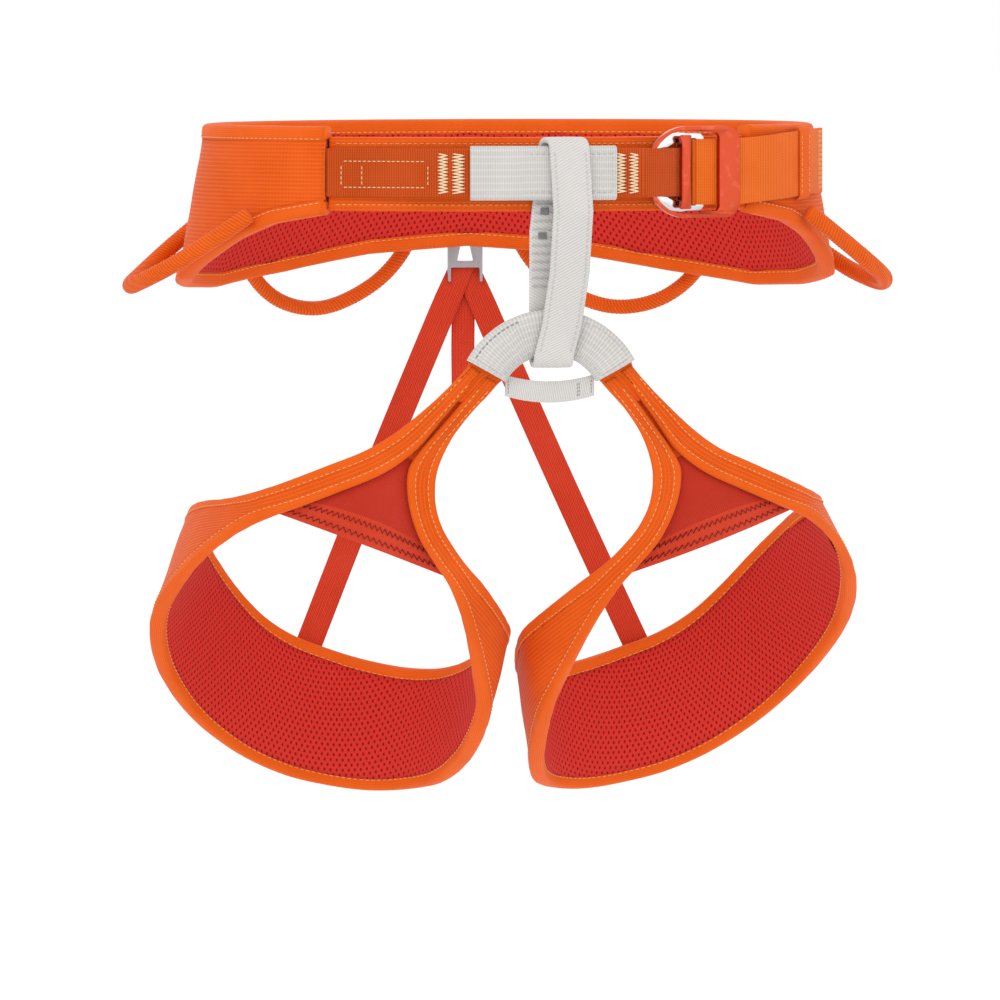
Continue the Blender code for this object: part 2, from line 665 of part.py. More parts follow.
def rim_points(rim):
    """The rim with both ends drawn to the lower tie-in."""
    points = [nominal_point(row[rim]) for row in LEG_RIMS]
    end = radians(ARCH_END)
    mouth = TIE_IN + MOUTH_GAP * Vector((cos(end), 0, -sin(end))) - nominal_point((38, -115, -100))
    last = len(points) - 1
    for k, pull in enumerate(ARM_PULL):
        points[k] += pull * mouth
        points[last - k] += pull * mouth
    return points


RIMS = rim_points(0), rim_points(1)


def on_rim(rim, at):
    points = RIMS[rim]
    low = min(int(at), len(points) - 2)
    a, b = points[max(low - 1, 0)], points[low]
    c, d = points[low + 1], points[min(low + 2, len(points) - 1)]
    t = at - low
    return 0.5 * (2 * b + (c - a) * t + (2 * a - 5 * b + 4 * c - d) * t ** 2
                  + (3 * b - a - 3 * c + d) * t ** 3)


def leg_width(at):
    return (on_rim(0, at) - on_rim(1, at)).length


def leg_normal(at):
    """Away from the thigh."""
    last = len(LEG_RIMS) - 1
    before, after = max(at - 0.5, 0), min(at + 0.5, last)
    along = on_rim(0, after) + on_rim(1, after) - on_rim(0, before) - on_rim(1, before)
    down = on_rim(1, at) - on_rim(0, at)
    return down.cross(along).normalized()


def leg_point(at, share, depth):
    """at counts along the loop, share goes from the upper to the lower rim, depth goes inward."""
    return on_rim(0, at).lerp(on_rim(1, at), share) - depth * leg_normal(at)


def leg_binding_width(at):
    return min(LEG_BINDING, 0.36 * leg_width(at))


def leg_thickness(at):
    pad = ramp(at, PAD_START, PAD_START + 2.5) - ramp(at, PAD_END - 2.5, PAD_END)
    padded = OUTER_FABRIC + LOAD_WEBBING + LEG_FOAM + LINING + 4 * GAP
    return ARM_THICKNESS + pad * (padded - ARM_THICKNESS)


def leg_layer(name, ends, depth, thickness, colour, side):
    rows = []
    steps = ceil(ends[1] - ends[0])
    for at in span(*ends, steps):
        width = leg_width(at)
        edge = (leg_binding_width(at) + 2 * GAP + 0.2 * depth) / width
        rows.append([leg_point(at, share, depth) for share in span(edge, 1 - edge, 2)][::-1])
    return sheet(name, rows, thickness, colour, leg_pivot(side), mirrored=side < 0)


def leg_binding(name, rim, side):
    sections = []
    for at in span(0, len(LEG_RIMS) - 1, len(LEG_RIMS) - 1):
        share = leg_binding_width(at) / leg_width(at)
        near, far = (0, share) if rim == 0 else (1, 1 - share)
        back = leg_thickness(at)
        corners = [(near, -GAP), (far, -GAP), (far, back), (near, back)]
        sections.append([leg_point(at, *corner) for corner in corners])
    return loft(name, sections, "binding_orange", leg_pivot(side), mirrored=side < 0)


def leg_pivot(side):
    return Vector((side * TIE_IN.x, TIE_IN.y, TIE_IN.z))


def stretch_rows(outer_ends, inner_ends, bows, steps, depth):
    """Rows across the front of the thigh, from the outer arm to the inner arm."""
    rows = []
    for k in range(steps + 1):
        t = k / steps
        outer_at = outer_ends[0] + (outer_ends[1] - outer_ends[0]) * t
        inner_at = inner_ends[0] + (inner_ends[1] - inner_ends[0]) * t
        start, end = leg_point(outer_at, 0.88, depth), leg_point(inner_at, 0.88, depth)
        belly = bows[0] + (bows[1] - bows[0]) * t
        lift = bows[2] + (bows[3] - bows[2]) * t
        row = []
        for s in span(1, 0, 8):
            hump = 4 * s * (1 - s)
            row.append(start.lerp(end, s) + Vector((0, -belly * hump, lift * hump)))
        rows.append(row)
    return rows


def make_stretch_front(side, word):
    depth = ARM_THICKNESS + 0.0016
    panel = stretch_rows((3.5, 5.85), (31.4, 28.35), (0.0, 0.012, 0.0, 0.0035), 5, depth)
    band = stretch_rows((5.95, 6.85), (28.25, 27.0), (0.012, 0.0145, 0.0040, 0.0), 2, depth)
    for name, rows, thickness, colour in (("stretch_panel_" + word, panel, 0.0007, "stretch_red"),
                                          ("panel_elastic_" + word, band, 0.0012, "elastic_red")):
        sheet(name, rows, thickness, colour, leg_pivot(side), mirrored=side < 0)


def make_leg_loop(side, word):
    last = len(LEG_RIMS) - 1
    webbing_depth = OUTER_FABRIC + GAP
    foam_depth = webbing_depth + LOAD_WEBBING + GAP
    lining_depth = foam_depth + LEG_FOAM + GAP
    leg_layer("leg_fabric_" + word, (0, last), 0, OUTER_FABRIC, "fabric_orange", side)
    leg_layer("leg_webbing_" + word, (0, last), webbing_depth, LOAD_WEBBING, "webbing_orange", side)
    padded = (PAD_START + 2.5, PAD_END - 2.5)
    leg_layer("leg_foam_" + word, padded, foam_depth, LEG_FOAM, "foam_grey", side)
    leg_layer("leg_lining_" + word, padded, lining_depth, LINING, "mesh_red", side)
    leg_binding("leg_binding_upper_" + word, 0, side)
    leg_binding("leg_binding_lower_" + word, 1, side)
    make_stretch_front(side, word)


# ---------------------------------------------------------------- rear hook and risers

HOOK_TOP = -0.034
HOOK_BAR = -0.0505
HOOK_FOOT = -0.058
RISER_AT = 16.55


def hook_out():
    return BINDING_FACE + flare(0, belt_bottom(0)) + 0.0005


def make_hook():
    back = WAIST_HALF_DEPTH + hook_out()
    middle = back + HOOK_PLATE / 2
    frame = Matrix(((1, 0, 0, 0), (0, 0, -1, middle), (0, 1, 0, 0), (0, 0, 0, 1)))
    half, notch = HOOK_WIDTH / 2, RISER_WIDTH / 2 + 0.0006
    outline = ((-half, HOOK_FOOT), (-half, HOOK_TOP - 0.002), (0.002 - half, HOOK_TOP),
               (half - 0.002, HOOK_TOP), (half, HOOK_TOP - 0.002), (half, HOOK_FOOT),
               (notch, HOOK_FOOT), (notch, HOOK_BAR), (-notch, HOOK_BAR), (-notch, HOOK_FOOT))
    window = ((-0.0022, HOOK_TOP - 0.0035), (0.0022, HOOK_TOP - 0.0035),
              (0.0044, HOOK_BAR + 0.0036), (-0.0044, HOOK_BAR + 0.0036))
    plate("rear_hook", (outline, window), HOOK_PLATE, "hook_grey", frame, 0.0004)
    rows = []
    high = HOOK_TOP + 0.024
    high_y = WAIST_HALF_DEPTH + BINDING_FACE + flare(0, high) + 0.0030
    for x in (0.010, -0.010):
        rows.append([Vector((x, back + 0.0026, HOOK_TOP + 0.0004)), Vector((x, high_y, high))])
    sheet("rear_hook_tab", rows, 0.0022, "webbing_orange")


def make_riser(side, word):
    """Elastic from the hook to the back of a leg loop, with its sewn patch on the loop."""
    pivot = leg_pivot(side)
    layer = HOOK_PLATE + (0.0004 if side < 0 else 0.0020)
    start = Vector((0.0004, WAIST_HALF_DEPTH + hook_out() + layer, HOOK_BAR + 0.003))
    end = leg_point(RISER_AT, 0.03, -0.0034)
    down = (end - start).normalized()
    across = down.cross(Vector((0, 1, 0))).normalized() * RISER_WIDTH / 2
    rows = []
    for t in span(0, 1, 8):
        middle = start.lerp(end, t) + Vector((0, 0.006 * sin(pi * t), 0))
        widen = across.lerp(Vector((across.length, 0, 0)), (1 - ramp(t, 0, 0.12)))
        rows.append([middle - widen, middle + widen])
    sheet("riser_" + word, rows, RISER, "elastic_red", pivot, mirrored=side < 0)
    rows = []
    for at in span(RISER_AT - 0.42, RISER_AT + 0.42, 2):
        rows.append([leg_point(at, share, -0.0022) for share in (0.26, 0.01)])
    sheet("riser_patch_" + word, rows, 0.0015, "elastic_red", pivot, mirrored=side < 0)


def make_riser_tail():
    y = WAIST_HALF_DEPTH + hook_out() + HOOK_PLATE + 0.0048
    heights = span(HOOK_BAR + 0.003, HOOK_BAR - 0.067, 4)
    half = 0.0062
    rows = [[Vector((half, y, z)), Vector((-half, y, z))] for z in heights]
    sheet("riser_tail", rows, RISER, "elastic_red")


# ---------------------------------------------------------------- gear loops

def make_gear_loop(name, knots, side, radius):
    ends = [waist_point(side * angle, z, BINDING_FACE + out - flare(angle, z)) for angle, out, z in knots]
    path = smooth_path(ends, 3)
    pivot = (path[0] + path[-1]) / 2
    tube(name, path, radius, "webbing_orange", pivot)


def make_patch(name, angle, z, radius):
    """The sewn end of a gear loop, flat on the belt above the tube."""
    wide = degrees((radius + 0.001) / WAIST_HALF_WIDTH)
    rows = []
    for turn in (angle - wide, angle, angle + wide):
        heights = (z + 0.020, z + 0.0055)
        rows.append([waist_point(turn, height, BINDING_FACE + 0.0018) for height in heights])
    sheet(name, rows, 0.0014, "webbing_orange")


def make_harness():
    make_belt()
    make_tongue()
    make_tie_in_webbing()
    make_adjust_strap()
    make_strap_tail()
    make_keeper()
    make_upper_sleeve()
    make_buckle()
    make_belay_loop()
    make_lower_tie_in()
    make_leg_bridge()
    make_hook()
    make_riser_tail()
    for side, word in ((-1, "left"), (1, "right")):
        make_leg_loop(side, word)
        make_riser(side, word)
        make_gear_loop("gear_loop_front_" + word, FRONT_LOOP, -side, FRONT_TUBE)
        make_gear_loop("gear_loop_rear_" + word, REAR_LOOP, side, REAR_TUBE)
        for place, (angle, _, z) in (("inner", REAR_LOOP[0]), ("outer", REAR_LOOP[-1])):
            make_patch("gear_loop_patch_" + place + "_" + word, side * angle, z, REAR_TUBE)


clear_scene()
HARNESS = bpy.data.collections.new("climbing_harness")
bpy.context.scene.collection.children.link(HARNESS)
make_harness()
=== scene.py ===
"""How a sport climbing sit harness looks: woven belt, perforated lining, sewn sleeves, buckle, elastic.
Metres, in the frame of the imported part. Left and right are the viewer's."""

from math import acos, asin, atan2, cos, degrees, hypot, pi, radians, sin

import bmesh
import bpy
from mathutils import Matrix, Vector, noise


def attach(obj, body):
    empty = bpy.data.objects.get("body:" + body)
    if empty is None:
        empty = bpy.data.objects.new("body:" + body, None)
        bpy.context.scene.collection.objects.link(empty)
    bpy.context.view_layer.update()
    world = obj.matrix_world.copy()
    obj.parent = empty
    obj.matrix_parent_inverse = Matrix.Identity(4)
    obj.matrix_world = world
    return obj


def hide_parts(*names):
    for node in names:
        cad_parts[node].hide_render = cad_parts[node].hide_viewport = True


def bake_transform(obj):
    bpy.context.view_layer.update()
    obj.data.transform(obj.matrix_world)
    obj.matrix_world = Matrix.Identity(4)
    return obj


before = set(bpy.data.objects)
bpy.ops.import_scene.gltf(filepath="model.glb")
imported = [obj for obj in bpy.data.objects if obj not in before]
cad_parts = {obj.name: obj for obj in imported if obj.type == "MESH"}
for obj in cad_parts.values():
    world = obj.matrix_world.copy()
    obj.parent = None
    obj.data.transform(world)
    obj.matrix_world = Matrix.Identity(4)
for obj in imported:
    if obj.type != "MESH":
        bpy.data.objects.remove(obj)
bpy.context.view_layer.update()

# ---------------------------------------------------------------- camera, light and floor

CAMERA_AZIMUTH, CAMERA_RISE = radians(-11), radians(2)
CAMERA_DISTANCE, PICTURE_WIDTH = 12.0, 0.522
CAMERA_AIM = Vector((-0.0042, 0.0, -0.1690))
FLOOR = -0.95


def make_stage():
    back = Vector((sin(CAMERA_AZIMUTH) * cos(CAMERA_RISE), -cos(CAMERA_AZIMUTH) * cos(CAMERA_RISE),
                   sin(CAMERA_RISE)))
    data = bpy.data.cameras.new("camera")
    data.sensor_width = 36
    data.lens = data.sensor_width * CAMERA_DISTANCE / PICTURE_WIDTH
    camera = bpy.data.objects.new("camera", data)
    bpy.context.scene.collection.objects.link(camera)
    camera.location = CAMERA_AIM + CAMERA_DISTANCE * back
    camera.rotation_euler = back.to_track_quat("Z", "Y").to_euler()
    bpy.context.scene.camera = camera

    world = bpy.data.worlds.new("studio")
    world.use_nodes = True
    world.node_tree.nodes["Background"].inputs["Color"].default_value = (1, 1, 1, 1)
    world.node_tree.nodes["Background"].inputs["Strength"].default_value = 1.0
    bpy.context.scene.world = world
    bpy.context.scene.view_settings.view_transform = "Standard"
    for name, place, size, power in (("key", (-0.9, -1.5, 1.5), 1.2, 12), ("fill", (1.4, -1.3, 0.5), 1.4, 3),
                                     ("rim", (0.3, 1.6, 1.2), 1.2, 4)):
        light = bpy.data.lights.new(name, "AREA")
        light.size, light.energy = size, power
        lamp = bpy.data.objects.new(name, light)
        lamp.location = place
        lamp.rotation_euler = (Vector(place) - CAMERA_AIM).to_track_quat("Z", "Y").to_euler()
        bpy.context.scene.collection.objects.link(lamp)

    mesh = bpy.data.meshes.new("floor")
    shape = bmesh.new()
    bmesh.ops.create_grid(shape, x_segments=1, y_segments=1, size=60)
    shape.to_mesh(mesh)
    shape.free()
    floor = bpy.data.objects.new("floor", mesh)
    floor.location = (0, 0, FLOOR)
    white = bpy.data.materials.new("floor_white")
    white.use_nodes = True
    shader = white.node_tree.nodes["Principled BSDF"]
    shader.inputs["Base Color"].default_value = (0.97, 0.97, 0.97, 1)
    shader.inputs["Roughness"].default_value = 0.9
    shader.inputs["Emission Color"].default_value = (1, 1, 1, 1)
    shader.inputs["Emission Strength"].default_value = 0.08
    mesh.materials.append(white)
    bpy.context.scene.collection.objects.link(floor)


make_stage()


# Waist belt
WAIST_HALF_WIDTH = 0.152
WAIST_HALF_DEPTH = 0.104
WING_ANGLE = 135.0
BELT_TOP = 0.028
BELT_FLARE = 0.014
BELT_BOTTOM = {0: -0.039, 20: -0.043, 40: -0.052, 60: -0.059, 75: -0.058, 90: -0.053,
               100: -0.043, 112: -0.031, 122: -0.023, 135: -0.018}
BINDING_WIDTH = 0.008
GAP = 0.0003

# Layers, from the lining outward
LINING = 0.001
FOAM = 0.004
LOAD_WEBBING = 0.0015
OUTER_FABRIC = 0.001

# Front closure
WEBBING_HEIGHT = 0.004
WEBBING_WIDTH = 0.025
WEBBING = 0.0015
STRAP_WIDTH = 0.034
STRAP = 0.0015
TONGUE_TOP, TONGUE_BOTTOM = 0.0225, -0.016
SLEEVE_LEFT, SLEEVE_RIGHT = -0.0395, 0.033
SLEEVE_DEPTH = 0.0042
SLEEVE_WALL = 0.0009
SLEEVE_ROOM = 0.0007

# Belay loop and lower tie-in
BELAY_WIDTH = 0.021
BELAY_THICKNESS = 0.003
BELAY_FRONT_LEAN = {0: 0.0008, 0.15: 0.005, 0.4: 0.009, 0.7: 0.011, 1: 0.009}
BELAY_REAR_LEAN = {0: 0.0, 0.6: 0.0003, 1: 0.0048}
BELAY_DROP = 0.1005
ARCH_HALF_SPAN = 0.034
ARCH_RISE = 0.020
ARCH_WIDTH = 0.0235
MOUTH_GAP = 0.0018
BRIDGE_WIDTH = 0.011

# Buckle
BUCKLE_ANGLE = 151.0
FRAME_HALF_HEIGHT = WEBBING_WIDTH / 2 + 0.0112
FRAME_RIM = 0.0033
LEFT_RIM = 0.0019
RING_OUTER, RING_INNER = 0.0205, 0.0155
FRAME_PLATE = 0.0024
REAR_PLATE = 0.0022

# Gear loops
FRONT_TUBE = 0.0043
REAR_TUBE = 0.0038

# Leg loops
ARM_THICKNESS = 0.0043
LEG_FOAM = 0.003
LEG_BINDING = 0.007

# Rear hook and risers
HOOK_WIDTH = 0.0185
HOOK_PLATE = 0.0025
RISER_WIDTH = 0.014
RISER = 0.0012

BELT_THICKNESS = LINING + FOAM + LOAD_WEBBING + OUTER_FABRIC + 3 * GAP
FOAM_BACK = LINING + GAP
WEBBING_BACK = FOAM_BACK + FOAM + GAP
BINDING_FACE = BELT_THICKNESS + GAP
TONGUE_FACE = 0.0048
BELAY_BACK = TONGUE_FACE + 0.0006
SLEEVE_BACK = BELAY_BACK + BELAY_THICKNESS + 0.0014
SLEEVE_FACE = SLEEVE_BACK + SLEEVE_DEPTH
SLEEVE_HEIGHT = WEBBING_WIDTH + 2 * (SLEEVE_WALL + SLEEVE_ROOM)
BELAY_FRONT = SLEEVE_FACE + 0.0008
WEBBING_RUN = (SLEEVE_BACK + SLEEVE_FACE) / 2
LOOP_MIDDLE = -(WAIST_HALF_DEPTH + WEBBING_RUN)
BELAY_TOP = WEBBING_HEIGHT + SLEEVE_HEIGHT / 2 + BELAY_THICKNESS + 0.0015
ARCH_MIDDLE = WEBBING_HEIGHT - BELAY_DROP + BELAY_THICKNESS + 0.0035 + ARCH_WIDTH / 2
TIE_IN = Vector((ARCH_HALF_SPAN, LOOP_MIDDLE, ARCH_MIDDLE - ARCH_RISE))
ARCH_RADIUS = (ARCH_HALF_SPAN ** 2 + ARCH_RISE ** 2) / (2 * ARCH_RISE)
ARCH_END = degrees(asin(ARCH_HALF_SPAN / ARCH_RADIUS))

# The leg loop's outer face: matched points on its upper and its lower rim, in millimetres, from
# the tie-in down the outer arm, round the thigh and back up the inner arm.
LEG_RIMS = (
    ((45.5, -115, -95), (39.3, -115, -99.5)),
    ((54, -113, -105), (48.5, -114, -111)),
    ((66, -110, -118), (58.5, -110, -125)),
    ((80, -104, -131), (69.5, -103.5, -140.5)),
    ((95, -97, -141), (86, -99, -153)),
    ((113, -90, -149), (108, -91.5, -163)),
    ((132, -80, -157), (128, -84, -171)),
    ((147, -64, -163), (144, -75, -176.5)),
    ((157, -40, -167), (158, -62, -184)),
    ((163, -12, -169), (172, -43, -197)),
    ((165, 12, -172), (182, -20, -212)),
    ((163, 35, -178), (187, 6, -227)),
    ((157, 55, -188), (185, 30, -244)),
    ((147, 71, -201), (175, 55, -264)),
    ((133, 82, -217), (156, 76, -286)),
    ((116, 89, -233), (130, 89, -305)),
    ((98, 93, -244), (104, 95, -317)),
    ((79, 94, -251), (80, 96, -323)),
    ((59, 90, -257), (57, 89, -326)),
    ((38, 78, -261), (37, 75, -325)),
    ((21, 57, -261), (24, 52, -321)),
    ((10, 30, -256), (17, 26, -311)),
    ((4.5, 4, -247.5), (14, 2, -298)),
    ((2.5, -21, -238), (14, -20, -283)),
    ((7, -34, -231), (18, -33, -270)),
    ((15, -49, -222), (25, -48, -252)),
    ((25, -64, -212), (34, -63, -232)),
    ((35, -75.5, -203), (44, -76, -214)),
    ((44, -84, -193), (54, -84, -201.5)),
    ((52, -91, -181.5), (64, -91, -187.5)),
    ((57, -97, -168), (71, -97, -170)),
    ((57.5, -102, -152), (73, -101, -153)),
    ((52, -108, -135), (68.3, -104, -142)),
    ((43, -112.5, -121), (56.6, -110.5, -126.5)),
    ((35.5, -115, -111.5), (46.6, -114.5, -112.5)),
    ((30.5, -115, -105), (37.6, -115, -101)),
)
PAD_START, PAD_END = 8.5, 26.5
ARM_PULL = (1.0, 0.85, 0.65, 0.45, 0.25, 0.1)

# Gear loops: angle round the belt, distance out from its outer face, height
FRONT_LOOP = ((-118, 0.0088, -0.018), (-112, 0.0183, -0.030), (-104, 0.0298, -0.044),
              (-96, 0.0373, -0.053), (-88, 0.0383, -0.056), (-80, 0.0313, -0.050),
              (-74, 0.0213, -0.039), (-69, 0.0113, -0.028))
REAR_LOOP = ((9.5, 0.0088, -0.020), (11, 0.0108, -0.040), (17, 0.0128, -0.059),
             (27, 0.0138, -0.071), (37, 0.0143, -0.067), (45, 0.0138, -0.050), (48, 0.0118, -0.025))


# ---------------------------------------------------------------- materials

CLOTH_MAP = "Cloth"
# White webbing's colour and its darker copy, the painted shade in the weave's hollows.
WHITE, WHITE_DARK = (0.66, 0.640, 0.615), (0.40, 0.385, 0.37)


class Looks:
    """A Principled material whose pattern reads the cloth's own length and width, in metres."""

    def __init__(self, name):
        self.made = bpy.data.materials.new(name)
        self.made.use_nodes = True
        self.tree = self.made.node_tree
        self.shader = self.tree.nodes["Principled BSDF"]
        place = self.tree.nodes.new("ShaderNodeUVMap")
        place.uv_map = CLOTH_MAP
        parts = self.tree.nodes.new("ShaderNodeSeparateXYZ")
        self.join(place.outputs["UV"], parts.inputs[0])
        self.along, self.across = parts.outputs[0], parts.outputs[1]

    def join(self, a, b):
        self.tree.links.new(a, b)

    def math(self, operation, a, b=0.0):
        node = self.tree.nodes.new("ShaderNodeMath")
        node.operation = operation
        for socket, value in zip(node.inputs, (a, b)):
            if isinstance(value, (int, float)):
                socket.default_value = value
            else:
                self.join(value, socket)
        return node.outputs[0]

    def turn(self, value, pitch):
        return self.math("COSINE", self.math("MULTIPLY", value, 2 * pi / pitch))

    def wave(self, value, pitch):
        """0 to 1 and back once in each pitch."""
        return self.math("ADD", self.math("MULTIPLY", self.turn(value, pitch), 0.5), 0.5)

    def diagonal(self, share=1.0):
        return self.math("ADD", self.along, self.math("MULTIPLY", self.across, share))

    def weave(self, pitch_along, pitch_across):
        """Threads that pass over and under each other."""
        both = self.math("MULTIPLY", self.turn(self.along, pitch_along), self.turn(self.across, pitch_across))
        return self.math("ADD", self.math("MULTIPLY", both, 0.5), 0.5)

    def added(self, one, share, other, other_share):
        return self.math("ADD", self.math("MULTIPLY", one, share), self.math("MULTIPLY", other, other_share))

    def cloud(self, size, detail=3.0):
        node = self.tree.nodes.new("ShaderNodeTexNoise")
        node.inputs["Scale"].default_value = 1 / size
        node.inputs["Detail"].default_value = detail
        place = self.tree.nodes.new("ShaderNodeTexCoord")
        self.join(place.outputs["Object"], node.inputs["Vector"])
        return node.outputs[0]

    def spread(self, value, low, high, to_low=0.0, to_high=1.0):
        node = self.tree.nodes.new("ShaderNodeMapRange")
        self.join(value, node.inputs["Value"])
        for name, number in (("From Min", low), ("From Max", high), ("To Min", to_low), ("To Max", to_high)):
            node.inputs[name].default_value = number
        return node.outputs[0]

    def mix(self, share, a, b):
        node = self.tree.nodes.new("ShaderNodeMix")
        node.data_type = "RGBA"
        self.join(share, node.inputs["Factor"])
        for name, colour in (("A", a), ("B", b)):
            socket = next(s for s in node.inputs if s.name == name and s.type == "RGBA")
            if isinstance(colour, tuple):
                socket.default_value = (*colour, 1)
            else:
                self.join(colour, socket)
        return next(s for s in node.outputs if s.type == "RGBA")

    def finish(self, colour, height, depth, roughness=(0.6, 0.8), sheen=0.15, metallic=0.0, strength=0.8):
        if isinstance(colour, tuple):
            self.shader.inputs["Base Color"].default_value = (*colour, 1)
        else:
            self.join(colour, self.shader.inputs["Base Color"])
        self.join(self.spread(height, 0, 1, roughness[1], roughness[0]), self.shader.inputs["Roughness"])
        for name, value in (("Metallic", metallic), ("Sheen Weight", sheen), ("Sheen Roughness", 0.4),
                            ("Specular IOR Level", 0.5 if metallic else 0.15)):
            self.shader.inputs[name].default_value = value
        bump = self.tree.nodes.new("ShaderNodeBump")
        bump.inputs["Strength"].default_value = strength
        bump.inputs["Distance"].default_value = depth
        self.join(height, bump.inputs["Height"])
        self.join(bump.outputs["Normal"], self.shader.inputs["Normal"])
        return self.made


def cloth(look, height, light, dark, depth, roughness, sheen, low=0.0, high=1.0, patch_share=0.22):
    """Colour from the pattern's height: thread tops painted in the light colour and hollows in the dark one,
    a painted shade and highlight that follow the bump. Over it lie faint broad paler patches where the cloth
    is rubbed.
    """
    # Painted shade in the weave's hollows and painted highlight on its tops.
    base = look.mix(look.spread(height, low, high), dark, light)
    worn_and_reflected = look.spread(look.cloud(0.03), 0.4, 0.75, 0.0, patch_share)
    paler = tuple(min(1.0, c * 1.12 + 0.02) for c in light)
    return look.finish(look.mix(worn_and_reflected, base, paler), height, depth, roughness, sheen)


def ripstop():
    look = Looks("ripstop_orange")
    rib = look.math("POWER", look.wave(look.across, 0.0021), 3.0)
    cross = look.math("MULTIPLY", look.math("POWER", look.wave(look.along, 0.0021), 5.0), 0.45)
    height = look.added(look.weave(0.0007, 0.0007), 0.35, look.math("MAXIMUM", rib, cross), 0.6)
    return cloth(look, height, (0.82, 0.122, 0.002), (0.60, 0.064, 0.001), 0.00022, (0.5, 0.75), 0.06)


def tape():
    look = Looks("binding_tape")
    height = look.added(look.wave(look.diagonal(0.6), 0.00085), 0.5, look.wave(look.across, 0.0011), 0.4)
    return cloth(look, height, (0.84, 0.130, 0.002), (0.64, 0.074, 0.001), 0.00016, (0.55, 0.75), 0.06)


def webbing(name, light, dark):
    look = Looks(name)
    rib = look.math("POWER", look.wave(look.along, 0.00125), 0.7)
    height = look.added(rib, 0.7, look.wave(look.across, 0.0008), 0.25)
    return cloth(look, height, light, dark, 0.0003, (0.45, 0.7), 0.075)


def spacer_mesh():
    """A knit with rows of small slanting holes."""
    look = Looks("spacer_mesh_red")
    rows = [look.turn(look.diagonal(slant), 0.0033) for slant in (0.62, -0.62)]
    hole = look.spread(look.math("MULTIPLY", look.math("ADD", *rows), 0.5), 0.42, 0.72)
    knit = look.weave(0.0006, 0.0009)
    height = look.added(look.math("SUBTRACT", 1.0, hole), 0.8, knit, 0.15)
    # The knit's colour follows its height: painted shade in its hollows.
    ground = look.mix(look.spread(knit, 0, 1), (0.54, 0.020, 0.013), (0.74, 0.038, 0.026))
    # The holes painted near black, the painted shade inside them.
    colour = look.mix(hole, ground, (0.22, 0.008, 0.006))
    return look.finish(colour, height, 0.0006, (0.75, 0.9), 0.036)


def stretch_cloth():
    look = Looks("stretch_red")
    return cloth(look, look.weave(0.0008, 0.0011), (0.55, 0.034, 0.013), (0.38, 0.018, 0.008), 0.00015,
                 (0.65, 0.85), 0.075, patch_share=0.3)


def elastic():
    look = Looks("elastic_red")
    height = look.added(look.wave(look.diagonal(0.9), 0.0015), 0.6, look.wave(look.across, 0.0016), 0.3)
    return cloth(look, height, (0.74, 0.065, 0.022), (0.46, 0.025, 0.009), 0.00025, (0.6, 0.8), 0.06)


def white_webbing(name, skew, pitch):
    look = Looks(name)
    height = look.added(look.wave(look.diagonal(skew), pitch), 0.6, look.weave(0.0009, 0.0011), 0.35)
    return cloth(look, height, WHITE, WHITE_DARK, 0.00024, (0.6, 0.8), 0.045, -0.3, 0.8)


def white_ribbed(name):
    """Ribs across the webbing, with faint lines along it."""
    look = Looks(name)
    line = look.math("POWER", look.wave(look.across, 0.0034), 6.0)
    height = look.added(look.wave(look.along, 0.0012), 0.6, line, 0.35)
    return cloth(look, height, WHITE, WHITE_DARK, 0.00025, (0.6, 0.8), 0.045, -0.3, 0.9)


def loop_sheath():
    look = Looks("gear_loop_sheath")
    spiral = look.math("POWER", look.wave(look.diagonal(0.45), 0.0019), 0.8)
    height = look.added(spiral, 0.75, look.wave(look.across, 0.0011), 0.2)
    return cloth(look, height, (0.82, 0.125, 0.002), (0.56, 0.060, 0.001), 0.0003, (0.5, 0.75), 0.06)


def thread_of(name, colour):
    look = Looks(name)
    # A darker copy of the thread's colour, painted shade in the twist's grooves.
    dark = tuple(0.75 * c for c in colour)
    return cloth(look, look.wave(look.diagonal(1.0), 0.0006), colour, dark, 0.00005, (0.5, 0.7), 0.03)


def metal(name, colour, worn_and_reflected, roughness, metallic=1.0):
    look = Looks(name)
    grain = look.cloud(0.0012, 4.0)
    # Broad patches of a second colour are painted reflections: lighter on the rose and cast metal, darker on
    # the steel.
    painted_reflection = look.spread(look.cloud(0.006), 0.55, 0.8, 0.0, 0.5)
    return look.finish(look.mix(painted_reflection, colour, worn_and_reflected), grain, 0.00002, roughness, 0.0, metallic, 0.25)


